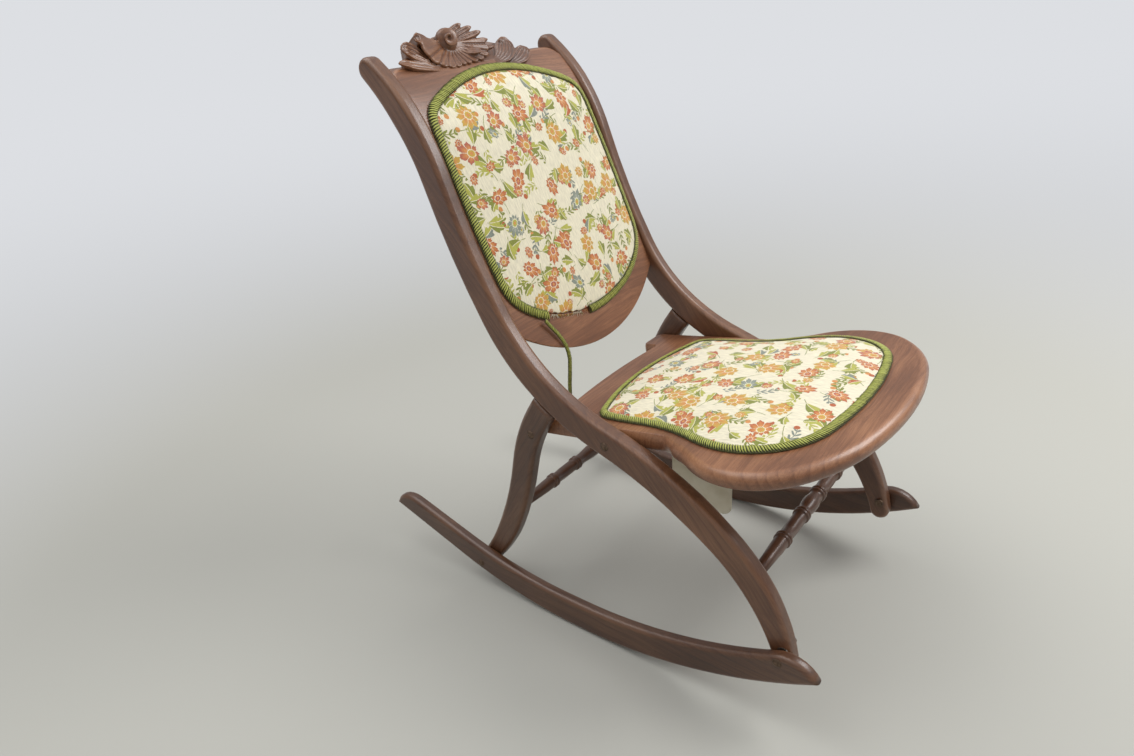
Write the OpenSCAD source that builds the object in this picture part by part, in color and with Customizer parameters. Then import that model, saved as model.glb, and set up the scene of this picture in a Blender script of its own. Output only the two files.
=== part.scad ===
// Folding rocking chair with an upholstered seat and back.
// The chair faces -Y and +Z is up. X = 0 is its plane of symmetry.
// The origin is on the floor, at the middle of the chair's outer box.
// A side profile is drawn with y as its first coordinate and z as its second.

/* [Frame] */
// Distance over the outer faces of the two side rails
frame_w = 430; // [410:5:450]
// Thickness of the rails and the rear legs across the chair
rail_t = 26; // [22:1:30]
// Depth of a rail in side view at its foot
rail_foot_d = 31; // [28:1:36]
// Depth of a rail in side view above its foot
rail_d = 42; // [38:1:46]
// Depth of a rear leg in side view at its middle
leg_d = 39; // [36:1:42]
// Depth of a rear leg at its foot
leg_foot_d = 29; // [26:1:29]

/* [Rockers] */
// Radius of the runner that meets the floor
rocker_r = 790; // [785:1:795]
// Height of a rocker at its middle
rocker_h = 52; // [46:1:56]
// Thickness of a rocker across the chair
rocker_t = 20; // [16:1:24]
// Length of the rounded nose at each end of a rocker
rocker_nose = 46; // [30:2:60]

/* [Seat] */
// Thickness of the seat board
seat_t = 26; // [24:1:30]
// Slope of the seat, its front edge higher than its back edge, in degrees
seat_tilt = 8.9; // [8:0.1:10]
// Crown of the seat pad above the board
seat_pad_h = 20; // [12:1:26]
// Width of the braid round both pads
gimp_w = 10; // [8:1:12]
// Thickness of the braid
gimp_t = 3; // [2:0.5:4]

/* [Back] */
// Thickness of the back panel
panel_t = 15; // [12:1:18]
// Angle of the back panel above the level, in degrees
panel_angle = 66.6; // [66:0.1:67]
// Crown of the back pad in front of the panel
back_pad_h = 17; // [10:1:22]

/* [Hardware] */
// Radius of a pivot bolt's shank
bolt_r = 4; // [3:0.5:5]
// Radius of a pivot bolt's domed head
bolt_head_r = 7; // [6:0.5:8]
// Height of the domed head
bolt_head_h = 3; // [2:0.5:4]
// Radius of a washer
washer_r = 9; // [8:0.5:10]

/* [Hidden] */

// Gaps: a turning fit, and the air between pieces that pass each other
fit = 0.05;
air = 0.3;

// Planes across the chair, measured from the middle
rail_out = frame_w / 2;
rail_in = rail_out - rail_t;
rocker_gap = 1;
rocker_in = rail_out + rocker_gap;
rocker_out = rocker_in + rocker_t;
seat_gap = 2;
seat_side = rail_in - seat_gap;

// Pivots in the side view: rail foot, leg foot and rail to seat
foot_pivot = [-341, 118];
leg_pivot = [206, 43];
seat_pivot = [-62, 355];
// The seat board's rear pivot, along the board behind the rail's
seat_arm = 140;
ear_pivot = seat_pivot + seat_arm * [cos(seat_tilt), -sin(seat_tilt)];
// Depth of the two seat pivots below the top of the board
pivot_depth = 15;

// Degrees a facet, on the bent frame pieces and on the outlines of board and pads
bend_step = 3;
outline_step = 6;

// ---------- Paths made of bends ----------
// A path starts at a point with a heading. Each bend is [length, turn].

// Point reached after part f of one bend
function bend_point(p, h, b, f) =
    abs(b[1]) < 0.01
        ? p + f * b[0] * [cos(h), sin(h)]
        : let (r = b[0] * 180 / (b[1] * PI), t = f * b[1])
            p + r * [sin(h + t) - sin(h), cos(h) - cos(h + t)];

// Number of facets that draw one bend
function bend_facets(b, step = bend_step) = max(2, ceil(abs(b[1]) / step));

// Every station of a path, as [point, heading, distance]
function stations(p, h, bends, step = bend_step, i = 0, s = 0) =
    i == len(bends)
        ? [[p, h, s]]
        : let (b = bends[i], n = bend_facets(b, step))
            concat(
                [for (k = [0:n - 1])
                    [bend_point(p, h, b, k / n), h + b[1] * k / n, s + b[0] * k / n]],
                stations(bend_point(p, h, b, 1), h + b[1], bends, step, i + 1, s + b[0])
            );

// Point beside a station, to the left of travel for a positive offset
function beside(st, d) = st[0] + d * [-sin(st[1]), cos(st[1])];

function last(v) = v[len(v) - 1];
function reversed(v) = [for (i = [len(v) - 1:-1:0]) v[i]];

// Half-round end on a strip
function round_end(st, r, side) =
    [for (a = [-90:15:90]) st[0] + r * [cos(st[1] + side + a), sin(st[1] + side + a)]];

// Plate whose side profile is the child, from x0 outwards
module plate(x0, t) {
    translate([x0, 0, 0])
        rotate([90, 0, 90])
            linear_extrude(t)
                children();
}

// The same on both sides of the chair
module both_sides() {
    children();
    mirror([1, 0, 0])
        children();
}

// Cylinder across the chair at a side-view point
module cross_pin(p, x0, length, r) {
    translate([x0, p[0], p[1]])
        rotate([0, 90, 0])
            cylinder(r = r, h = length, $fn = 48);
}

// ---------- Side rails ----------
// From the foot: round the knee, under the seat, up the back, over the scroll
rail_start = [-341, 99];
rail_heading = 76.8;
rail_bends = [[188, -37.5], [215, -21], [125, 20], [123, 23], [215, 10], [181, -31]];
rail_path = stations(rail_start, rail_heading, rail_bends);
rail_len = last(rail_path)[2];
rail_depths = [
    [0, rail_foot_d], [100, rail_d], [240, rail_d + 6], [420, rail_d + 3],
    [rail_len - 80, rail_d], [rail_len, rail_d - 8]
];

module rail_profile() {
    foot = rail_path[0];
    top = last(rail_path);
    polygon(concat(
        [for (st = rail_path) beside(st, lookup(st[2], rail_depths) / 2)],
        reversed(round_end(top, (rail_d - 8) / 2, 0)),
        reversed([for (st = rail_path) beside(st, -lookup(st[2], rail_depths) / 2)]),
        reversed(round_end(foot, rail_foot_d / 2, 180))
    ));
}

// One rail with its three through holes and the front rung's mortise
module rail() {
    color("saddlebrown")
        difference() {
            plate(rail_in, rail_t)
                rail_profile();
            cross_pin(foot_pivot, rail_in - 1, rail_t + 2, bolt_r + fit);
            cross_pin(seat_pivot, rail_in - 1, rail_t + 2, bolt_r + fit);
            cross_pin(front_rung_at, rail_in - 1, rung_tenon + 1, rung_tenon_r + fit);
        }
}

module rail_left() {
    rail();
}

module rail_right() {
    mirror([1, 0, 0])
        rail();
}

// ---------- Rear legs ----------
// From the leg's foot pivot up to the rear face of the rail
leg_heading = 129;
leg_bends = [[113, -14.5], [136, -12], [134, 25]];
leg_path = stations(leg_pivot, leg_heading, leg_bends);
leg_len = last(leg_path)[2];
leg_depths = [[0, leg_foot_d], [100, leg_d], [leg_len, leg_d + 3]];

module leg_profile() {
    foot = leg_path[0];
    difference() {
        polygon(concat(
            [for (st = leg_path) beside(st, lookup(st[2], leg_depths) / 2)],
            reversed([for (st = leg_path) beside(st, -lookup(st[2], leg_depths) / 2)]),
            reversed(round_end(foot, leg_foot_d / 2, 180))
        ));
        // The head is cut to the rail's rear face, which stops the fold
        offset(r = air)
            rail_profile();
    }
}

module leg() {
    color("saddlebrown")
        difference() {
            plate(rail_in, rail_t)
                leg_profile();
            cross_pin(leg_pivot, rail_in - 1, rail_t + 2, bolt_r + fit);
            cross_pin(ear_pivot, rail_in - 1, rail_t + 2, bolt_r + fit);
            cross_pin(rear_rung_at, rail_in - 1, rung_tenon + 1, rung_tenon_r + fit);
        }
}

module leg_left() {
    leg();
}

module leg_right() {
    mirror([1, 0, 0])
        leg();
}

// ---------- Rockers ----------
// The runner is one arc to behind the rear pivot, then runs out straight.
// A short stretch in the middle of the floor line is flat, so that the chair stands still.
runner_flat = 60;
runner_level = asin(runner_flat / 2 / rocker_r);
runner_front = 30.2;
runner_back = 18.4;
rocker_end = 415.7;
runner_drop = rocker_r * (1 - cos(runner_level));
function runner_point(a) = rocker_r * [sin(a), 1 - cos(a)] - [0, runner_drop];
runner_tail = (rocker_end - runner_point(runner_back)[0]) / cos(runner_back);
runner_arc = rocker_r * (runner_front + runner_back) * PI / 180;
rocker_len = runner_arc + runner_tail;

// Depth of the rocker: it thins to both ends and runs into the nose
function nose(s) = s >= rocker_nose ? 1 : sqrt(1 - pow(1 - s / rocker_nose, 2));
function rocker_depth(s) =
    lookup(s, [[0, rocker_h - 6], [rocker_len / 2, rocker_h], [rocker_len, rocker_h - 12]])
        * nose(s) * nose(rocker_len - s);

// A station of the runner, as [point, heading, distance]
function runner_station(s) =
    let (a = s * 180 / (rocker_r * PI) - runner_front)
    s <= runner_arc
        ? [runner_point(a), a, s]
        : [runner_point(runner_back) + (s - runner_arc) * [cos(runner_back), sin(runner_back)],
            runner_back, s];
nose_steps = [for (k = [1:7]) rocker_nose * (1 - cos(k * 12))];
runner_low = concat(
    [for (k = [0:19]) runner_point(-runner_front + k * (runner_front - runner_level) / 19)],
    [for (k = [0:11]) runner_point(runner_level + k * (runner_back - runner_level) / 11)]
);
rocker_top = [for (s = concat(
        [0], nose_steps,
        [for (k = [2:33]) k * rocker_len / 35],
        reversed([for (d = nose_steps) rocker_len - d]), [rocker_len]
    )) runner_station(s)];

module rocker_profile() {
    polygon(concat(
        runner_low,
        [last(rocker_top)[0]],
        reversed([for (i = [1:len(rocker_top) - 2])
            beside(rocker_top[i], rocker_depth(rocker_top[i][2]))])
    ));
}

module rocker() {
    color("sienna")
        difference() {
            plate(rocker_in, rocker_t)
                rocker_profile();
            cross_pin(foot_pivot, rocker_in - 1, rocker_t + 2, bolt_r + fit);
            cross_pin(leg_pivot, rocker_in - 1, rocker_t + 2, bolt_r + fit);
        }
}

module rocker_left() {
    rocker();
}

module rocker_right() {
    mirror([1, 0, 0])
        rocker();
}

// ---------- Turned rungs ----------
front_rung_at = [-287, 210];
rear_rung_at = [122, 179];
rung_tenon = 14;
rung_tenon_r = 7;
front_rung_r = 13;
front_rung_beads = [32, 101];
rear_rung_r = 12.5;
rear_rung_beads = [54, 119];
bead_w = 6.4;

// Pair of beads round a rung, as [distance from the middle, radius]
function bead_pair(at, r) = [
    for (side = [-0.5, 0.5])
        for (a = [180:-30:0])
            [at + bead_w * (side + 0.47 * cos(a)), r * (0.87 + 0.13 * sin(a))]
];

// Half of a turned rung: a bulb between the inner beads, then tapering barrels
function turning(r, beads) = concat(
    [
        [0, 0.98 * r], [beads[0] * 0.2, 0.96 * r], [beads[0] * 0.4, 0.88 * r],
        [beads[0] * 0.6, 0.80 * r], [beads[0] - bead_w - 1, 0.79 * r]
    ],
    bead_pair(beads[0], r),
    [
        [beads[0] + bead_w + 1, 0.79 * r], [beads[0] + 20, 0.83 * r],
        [beads[1] - 24, 0.81 * r], [beads[1] - bead_w - 1, 0.76 * r]
    ],
    bead_pair(beads[1], r),
    [
        [beads[1] + bead_w + 1, 0.84 * r], [beads[1] + 22, 0.84 * r],
        [beads[1] + 46, 0.74 * r], [rail_in, 0.62 * r]
    ]
);

// Rung between two inner faces, with a tenon into each
module rung(at, r, beads) {
    shape = turning(r, beads);
    tenon_end = rail_in + rung_tenon - air;
    half = concat(shape, [[rail_in, rung_tenon_r], [tenon_end, rung_tenon_r], [tenon_end, 0]]);
    color("saddlebrown")
        translate([0, at[0], at[1]])
            rotate([0, 90, 0])
                rotate_extrude($fn = 64)
                    polygon(concat(
                        [for (q = half) [q[1], q[0]]],
                        reversed([for (i = [1:len(half) - 1]) [half[i][1], -half[i][0]]])
                    ));
}

module front_rung() {
    rung(front_rung_at, front_rung_r, front_rung_beads);
}

module rear_rung() {
    rung(rear_rung_at, rear_rung_r, rear_rung_beads);
}

// ---------- Outlines and lofts ----------
// Closed outline from its right half, which runs from x = 0 round to x = 0
function mirrored(half) = concat(
    half,
    reversed([for (i = [1:len(half) - 2]) [-half[i][0], half[i][1]]])
);

// Last stretch of a half outline: a flat curve from its last point to x = 0
function closed_to(half, rise, n) =
    let (e = last(half))
    concat(half, [for (k = [1:n]) let (f = 1 - k / n) [e[0] * f, rise - (rise - e[1]) * f * f]]);

// Unit normal into the outline at point i, for an anticlockwise outline
function inward(o, i) =
    let (
        n = len(o),
        d = o[(i + 1) % n] - o[(i + n - 1) % n]
    )
    [-d[1], d[0]] / norm(d);

// Solid through rings of equal length, with a flat face at each end
module loft(rings) {
    n = len(rings[0]);
    m = len(rings);
    polyhedron(
        points = [for (r = rings) for (p = r) p],
        faces = concat(
            [[for (i = [0:n - 1]) i]],
            [for (j = [0:m - 2]) for (i = [0:n - 1])
                let (k = (i + 1) % n)
                [j * n + i, (j + 1) * n + i, (j + 1) * n + k, j * n + k]],
            [[for (i = [n - 1:-1:0]) (m - 1) * n + i]]
        ),
        convexity = 6
    );
}

// ---------- Seat ----------
// The seat is drawn flat, with its rail pivot at the origin, then tilted
module on_seat() {
    translate([0, seat_pivot[0], seat_pivot[1]])
        rotate([-seat_tilt, 0, 0])
            translate([0, 0, pivot_depth])
                children();
}

seat_front = -358;
ear_back = 152;
ear_inner = 131;
ear_corner_r = 12;
seat_back_side = 122;
seat_back_mid = 131;

// Right half of the board: broad round front, waist between the rails, rear ear
seat_bends = [[126, 14], [112, 30], [96, 52], [70, 34], [60, -25], [42, -15]];
seat_curve = [for (st = stations([0, seat_front], 0, seat_bends, outline_step)) st[0]];
// From here back the board is narrow enough to pass between the rails
seat_waist = -75;
seat_half = concat(
    [for (p = seat_curve) if (p[1] < seat_waist - 8) p],
    [for (y = [seat_waist:24:ear_back - ear_corner_r - 4]) [seat_side, y]],
    [for (a = [0:22.5:90])
        [seat_side - ear_corner_r, ear_back - ear_corner_r] + ear_corner_r * [cos(a), sin(a)]],
    [for (a = [90:22.5:180])
        [ear_inner + 8, ear_back - 8] + 8 * [cos(a), sin(a)]],
    [[ear_inner, seat_back_side + 6], [ear_inner - 5, seat_back_side + 1]]
);
seat_outline = mirrored(closed_to(seat_half, seat_back_mid, 6));

// Relief under the board, in its own outline made smaller
relief_depth = 14;
relief_share = 0.68;
relief_middle = [0, -112];

// Roundness of the edge: a full bullnose in front, a soft arris elsewhere
function edge_round(y) = lookup(y, [[seat_front, 13], [-130, 12], [-60, 3], [ear_back, 3]]);

module seat_board() {
    color("chocolate")
        difference() {
            on_seat()
                loft(concat(
                    [for (z = [relief_depth - seat_t, -seat_t])
                        [for (p = seat_outline)
                            let (q = relief_middle + (p - relief_middle) * relief_share)
                            [q[0], q[1], z]]],
                    [for (a = [-90:22.5:90])
                        [for (i = [0:len(seat_outline) - 1])
                            let (
                                p = seat_outline[i],
                                q = p + inward(seat_outline, i) * edge_round(p[1]) * (1 - cos(a))
                            )
                            [q[0], q[1], seat_t / 2 * (sin(a) - 1)]]]
                ));
            // Blind holes in the edges of the board for the four pivot bolts
            both_sides() {
                cross_pin(seat_pivot, seat_side - bolt_depth, bolt_depth + 1, bolt_r + fit);
                cross_pin(ear_pivot, seat_side - bolt_depth, bolt_depth + 1, bolt_r + fit);
            }
        }
}

// Right half of the seat pad's outline, over its braid
pad_bends = [[122, 12], [76, 40], [85, 45], [55, 20], [45, -12], [50, -15], [70, 8], [18, 56]];
pad_half = [for (st = stations([0, -308], 0, pad_bends, outline_step)) st[0]];
pad_back = 80;
pad_outline = mirrored(closed_to(pad_half, pad_back, 8));

// Outline moved inwards all round
function inset(o, d) = [for (i = [0:len(o) - 1]) o[i] + inward(o, i) * d];

// Crown of a pad: rings shrink to the middle and rise like a cushion
pad_shares = [1, 0.97, 0.92, 0.82, 0.62, 0.34, 0.08];
pad_side = 4;
function crown(s, h) = pad_side + (h - pad_side) * sqrt(1 - pow(s, 4));

module seat_pad() {
    base = inset(pad_outline, gimp_w + air);
    middle = [0, -112];
    color("wheat")
        on_seat()
            loft(concat(
                [[for (p = base) [p[0], p[1], air]]],
                [for (s = pad_shares)
                    [for (p = base)
                        let (q = middle + (p - middle) * s)
                        [q[0], q[1], crown(s, seat_pad_h)]]]
            ));
}

module seat_gimp() {
    color("olivedrab")
        on_seat()
            difference() {
                linear_extrude(gimp_t)
                    polygon(pad_outline);
                translate([0, 0, -1])
                    linear_extrude(gimp_t + 2)
                        polygon(inset(pad_outline, gimp_w));
            }
}

// Blank cloth tag that hangs under the right side of the seat
tag_at = [-136, -222];
tag_low = 246;
tag_w = 96;
tag_t = 1;

module cloth_tag() {
    color("ivory")
        difference() {
            translate([tag_at[0], tag_at[1], tag_low])
                cube([tag_t, tag_w, 150]);
            on_seat()
                translate([-300, -400, -seat_t - air])
                    cube([600, 600, 200]);
        }
}

// ---------- Back ----------
// Front face of the panel in side view: straight, then bent back with the rails
panel_foot = [73.5, 405];
panel_straight = 380;
panel_bend = [150, -32];
panel_path = stations(panel_foot, panel_angle, [[panel_straight, 0], panel_bend]);
panel_bend_at = panel_foot + panel_straight * [cos(panel_angle), sin(panel_angle)];
panel_bend_r = panel_bend[0] * 180 / (-panel_bend[1] * PI);

// Heading and y of the panel's front face at a height
function panel_heading(z) =
    z <= panel_bend_at[1]
        ? panel_angle
        : acos((z - panel_bend_at[1]) / panel_bend_r + cos(panel_angle));
function panel_y(z) =
    z <= panel_bend_at[1]
        ? panel_bend_at[0] + (z - panel_bend_at[1]) / tan(panel_angle)
        : panel_bend_at[0] + panel_bend_r * (sin(panel_angle) - sin(panel_heading(z)));

// Point a given distance in front of the panel's face
function on_panel(x, z, d) =
    let (h = panel_heading(z))
    [x, panel_y(z) - d * sin(h), z + d * cos(h)];

// Sheet that follows the panel, from d0 to d1 in front of its face
module panel_sheet(d0, d1) {
    plate(-rail_in, 2 * rail_in)
        polygon(concat(
            [for (st = panel_path) beside(st, d1)],
            reversed([for (st = panel_path) beside(st, d0)])
        ));
}

// Solid behind a front-view outline, right through the back
module front_view() {
    translate([0, 500, 0])
        rotate([90, 0, 0])
            linear_extrude(600)
                children();
}

panel_top = 853;
panel_low_r = 300;
panel_low = 414;

module panel_outline() {
    bottom = [for (a = [-39:3:39])
        [panel_low_r * sin(a), panel_low + panel_low_r * (1 - cos(a))]];
    shoulder = [for (a = [0:15:90])
        [rail_in - 22 * (1 - cos(a)), panel_top - 14 + 14 * sin(a)]];
    polygon(concat(
        bottom,
        [[rail_in, last(bottom)[1] + 4]],
        shoulder,
        reversed([for (p = shoulder) [-p[0], p[1]]]),
        [[-rail_in, last(bottom)[1] + 4]]
    ));
}

module back_panel() {
    color("chocolate")
        intersection() {
            panel_sheet(-panel_t, 0);
            front_view()
                panel_outline();
        }
}

// Right half of the back pad's outline in front view, over its braid
back_pad_bends = [[112, 20], [74, 25], [40, 43], [140, 3], [31, 0.7], [31, 0.7], [30, 0.6], [24, 62]];
back_pad_low = 457;
back_pad_top = 842;
back_half = [for (st = stations([0, back_pad_low], 0, back_pad_bends, outline_step)) st[0]];
back_outline = mirrored(closed_to(back_half, back_pad_top, 8));

loose_from = -118;
loose_to = -21;

module back_gimp() {
    color("olivedrab")
        intersection() {
            panel_sheet(0, gimp_t);
            front_view()
                difference() {
                    polygon(back_outline);
                    polygon(inset(back_outline, gimp_w));
                    // The braid has come away along part of the lower edge
                    translate([loose_from, back_pad_low - 10])
                        square([loose_to - loose_from, 60]);
                }
        }
}

// The pad's underside follows the bend of the panel in close rings
under_shares = [0.08, 0.4, 0.6, 0.68, 0.76, 0.84, 0.92, 1];
back_pad_gap = 0.8;

module back_pad() {
    base = inset(back_outline, gimp_w + 2);
    middle = [0, 650];
    color("wheat")
        loft(concat(
            [for (s = under_shares)
                [for (p = base)
                    let (q = middle + (p - middle) * s)
                    on_panel(q[0], q[1], back_pad_gap)]],
            [for (s = pad_shares)
                [for (p = base)
                    let (q = middle + (p - middle) * s)
                    on_panel(q[0], q[1], crown(s, back_pad_h))]]
        ));
}

// Loose end of the back's braid: over the panel's lower edge, then straight down
loose_w = 8;
loose_t = 2;
loose_route = [
    [-129, 99, 486], [-124, 97, 478], [-118, 94, 469], [-112, 90, 459], [-107, 86, 448],
    [-103, 83, 437], [-101, 81, 425], [-100, 80, 413], [-100, 81, 401], [-100, 82, 389],
    [-99, 84, 377], [-98, 86, 366], [-96, 88, 355], [-94, 90, 345], [-91, 92, 335]
];

module loose_gimp_end() {
    n = 8;
    color("olivedrab")
        loft([for (p = loose_route)
            [for (k = [0:n - 1])
                [p[0] + loose_w / 2 * cos(k * 360 / n), p[1] + loose_t / 2 * sin(k * 360 / n), p[2]]]]);
}

// ---------- Carved crest ----------
// The crest stands on the panel's top edge and leans back with the scrolls.
// It is drawn flat, u across the chair and v up the slope, with z in front.
crest_at = [0, 306, 840];
crest_lean = 62;
crest_t = 13;

// Lobes as [u, v, radius, height], the root of each group as [u, v]
left_root = [-58, 0];
left_lobes = [[-101, 43, 14, 5], [-125, 30, 14, 4], [-138, 10, 10, 2]];
right_root = [44, -2];
right_lobes = [[82, 24, 18, 4], [121, 13, 14, 2]];
rose_at = [-37, 28];
rose_turns = [-104, -76, -46, -16, 14, 44, 72];
rose_reach = 34;
// Petals behind the bud's right side
back_root = [-16, 14];
back_lobes = [[7, 47, 14, 3], [38, 32, 15, 4]];

module on_crest() {
    translate(crest_at)
        rotate([crest_lean, 0, 0])
            children();
}

// Blunt leaf or petal in relief, from a narrow root to a round lobe
module lobe(root, tip, r, h) {
    hull() {
        translate([root[0], root[1], 0])
            scale([1, 1, 0.6])
                sphere(r = r * 0.5, $fn = 14);
        translate([tip[0], tip[1], h])
            scale([1, 1, 0.42])
                sphere(r = r, $fn = 18);
    }
}

module crest_carving() {
    color("saddlebrown")
        difference() {
            on_crest() {
                // Ground of the carving
                hull() {
                    for (q = [[-120, 8, 12], [-96, 32, 12], [-34, 40, 18], [60, 20, 12], [110, 6, 12]])
                        translate([q[0], q[1], -crest_t])
                            cylinder(r = q[2], h = crest_t, $fn = 32);
                }
                for (q = left_lobes)
                    lobe(left_root, [q[0], q[1]], q[2], q[3]);
                for (q = right_lobes)
                    lobe(right_root, [q[0], q[1]], q[2], q[3]);
                for (q = back_lobes)
                    lobe(back_root, [q[0], q[1]], q[2], q[3]);
                // Open petals round the bud
                for (a = rose_turns)
                    lobe(rose_at, rose_at + rose_reach * [sin(a), -cos(a)], 15, 6);
                // Bud
                translate([rose_at[0], rose_at[1] + 10, 9])
                    scale([1, 1, 0.8])
                        sphere(r = 23, $fn = 32);
            }
            // Seat of the carving on the panel's top edge and front face
            intersection() {
                panel_sheet(-panel_t - 60, air);
                translate([-200, 0, panel_top - 200])
                    cube([400, 500, 200]);
            }
        }
}

// ---------- Pivots ----------
bolt_depth = 34;
nut_t = 4;

// Domed head, its flat side at x = 0, turned outwards
module dome_head(r, h) {
    ball = (r * r + h * h) / (2 * h);
    rotate([0, 90, 0])
        intersection() {
            translate([0, 0, h - ball])
                sphere(r = ball, $fn = 64);
            cylinder(r = r, h = h + 1, $fn = 48);
        }
}

// Bolt from its head at x0 inwards for a length
module bolt(p, x0, length) {
    cross_pin(p, x0 - length, length, bolt_r);
    translate([x0, p[0], p[1]])
        dome_head(bolt_head_r, bolt_head_h);
}

module ring(p, x0, t, r) {
    difference() {
        cross_pin(p, x0, t, r);
        cross_pin(p, x0 - 1, t + 2, bolt_r + fit);
    }
}

// Rail foot to rocker
module foot_bolts() {
    color("dimgray")
        both_sides()
            bolt(foot_pivot, rocker_out, rocker_out - rail_in + nut_t);
}

module foot_nuts() {
    color("dimgray")
        both_sides()
            ring(foot_pivot, rail_in - nut_t, nut_t, bolt_head_r);
}

module foot_washers() {
    color("silver")
        both_sides()
            ring(foot_pivot, rail_out, rocker_gap, washer_r);
}

// Rail to seat board
module seat_bolts() {
    color("dimgray")
        both_sides()
            bolt(seat_pivot, rail_out, rail_t + seat_gap + bolt_depth - 2);
}

// Leg head to the seat board's ear
module leg_bolts() {
    color("dimgray")
        both_sides()
            bolt(ear_pivot, rail_out, rail_t + seat_gap + bolt_depth - 2);
}

module seat_washers() {
    color("silver")
        both_sides() {
            ring(seat_pivot, seat_side, seat_gap, washer_r);
            ring(ear_pivot, seat_side, seat_gap, washer_r);
        }
}

// Leg foot to rocker
module rear_bolt_left() {
    color("dimgray")
        bolt(leg_pivot, rocker_out, rocker_t);
}

module rear_bolt_right() {
    mirror([1, 0, 0])
        rear_bolt_left();
}

module rear_nuts() {
    color("dimgray")
        both_sides() {
            cross_pin(leg_pivot, rail_in, rail_t, bolt_r);
            cross_pin(leg_pivot, rail_in - nut_t, nut_t, bolt_head_r);
        }
}

rail_right();
rail_left();
back_panel();
crest_carving();
back_pad();
back_gimp();
loose_gimp_end();
front_rung();
foot_bolts();
foot_nuts();
foot_washers();
seat_bolts();
seat_board();
seat_pad();
seat_gimp();
seat_washers();
cloth_tag();
leg_right();
leg_left();
rear_rung();
leg_bolts();
rear_nuts();
rocker_right();
rocker_left();
rear_bolt_right();
rear_bolt_left();
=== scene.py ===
import math
from functools import partial

import bmesh
import bpy
import numpy as np
from mathutils import Matrix, Vector, geometry


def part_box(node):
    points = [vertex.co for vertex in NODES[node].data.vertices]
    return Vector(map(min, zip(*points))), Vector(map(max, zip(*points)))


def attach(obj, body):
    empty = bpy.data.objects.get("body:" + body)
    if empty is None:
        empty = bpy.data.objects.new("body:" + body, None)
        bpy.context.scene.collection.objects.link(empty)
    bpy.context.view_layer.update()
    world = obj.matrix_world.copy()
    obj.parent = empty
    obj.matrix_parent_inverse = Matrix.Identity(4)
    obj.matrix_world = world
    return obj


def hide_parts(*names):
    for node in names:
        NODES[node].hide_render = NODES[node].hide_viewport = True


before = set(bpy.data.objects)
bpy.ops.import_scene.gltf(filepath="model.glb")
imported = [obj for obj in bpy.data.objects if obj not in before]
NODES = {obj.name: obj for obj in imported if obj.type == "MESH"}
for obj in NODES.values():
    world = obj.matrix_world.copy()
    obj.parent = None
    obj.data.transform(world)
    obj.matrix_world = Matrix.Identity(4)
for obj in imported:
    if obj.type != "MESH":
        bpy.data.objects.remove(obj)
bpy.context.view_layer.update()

MM = 0.001

bl_info = {
    "name": "Folding rocking chair",
    "version": (1, 0, 0),
    "blender": (4, 5, 0),
    "location": "3D View > Sidebar > Chair",
    "description": "Dresses a folding rocking chair in stained wood, tapestry and braid",
    "category": "Object",
}


# ---------- Sizes and colours ----------

def linear(colour):
    """Linear colour of an sRGB hex value."""
    parts = [int(colour[i:i + 2], 16) / 255 for i in (1, 3, 5)]
    return [p / 12.92 if p <= 0.04045 else ((p + 0.055) / 1.055) ** 2.4 for p in parts]


def colour_property(name, description, default):
    return bpy.props.FloatVectorProperty(
        name=name, description=description, default=linear(default), subtype="COLOR", min=0, max=1
    )


class ChairWood(bpy.types.PropertyGroup):
    arris: bpy.props.FloatProperty(
        name="Arris", description="Radius of the rounded edges of rails, legs and rockers",
        default=0.0078, min=0.001, max=0.01, unit="LENGTH", precision=4)
    ring: bpy.props.FloatProperty(
        name="Ring width", description="Distance between growth rings across the board",
        default=0.011, min=0.002, max=0.02, unit="LENGTH", precision=4)
    dark: colour_property("Dark", "Late wood, pores and stain in the hollows", "#41281b")
    middle: colour_property("Middle", "Stained wood between the rings", "#73492f")
    light: colour_property("Light", "Early wood and rubbed arrises", "#9d6d4b")


class ChairTapestry(bpy.types.PropertyGroup):
    flower_pitch: bpy.props.FloatProperty(
        name="Flower pitch", description="Usual distance from one large flower to the next",
        default=0.056, min=0.02, max=0.1, unit="LENGTH", precision=4)
    thread: bpy.props.FloatProperty(
        name="Thread", description="Step of the woven figure, one thread wide",
        default=0.0005, min=0.0002, max=0.002, unit="LENGTH", precision=5)
    ground: colour_property("Ground", "Cream ground weave", "#e8e0c6")
    rust: colour_property("Rust", "Outer petals", "#b8633a")
    orange: colour_property("Orange", "Inner petals", "#d39050")
    rose: colour_property("Rose", "Hearts and small flowers", "#b25f50")
    ochre: colour_property("Ochre", "Gold flowers and hearts", "#c8a546")
    olive: colour_property("Olive", "Shaded halves of the leaves and stems", "#868c3c")
    lime: colour_property("Lime", "Light halves of the leaves", "#b3b152")
    slate: colour_property("Slate", "Blue-grey flowers and leaves", "#858c80")


class ChairBraid(bpy.types.PropertyGroup):
    width: bpy.props.FloatProperty(
        name="Width", description="Width of the braid round the pads",
        default=0.0145, min=0.006, max=0.018, unit="LENGTH", precision=4)
    stitch: bpy.props.FloatProperty(
        name="Stitch", description="Distance from one plaited rib to the next",
        default=0.0036, min=0.001, max=0.005, unit="LENGTH", precision=5)
    # Painted light: the first colour below is a painted highlight on the ribs' crowns and the last
    # is painted shade between the ribs; the middle one is the braid's own colour.
    bright: colour_property("Bright", "Crowns of the ribs", "#b5b95c")
    middle: colour_property("Middle", "Sides of the ribs", "#959a3e")
    shade: colour_property("Shade", "Between the ribs", "#4a4a1c")


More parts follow.
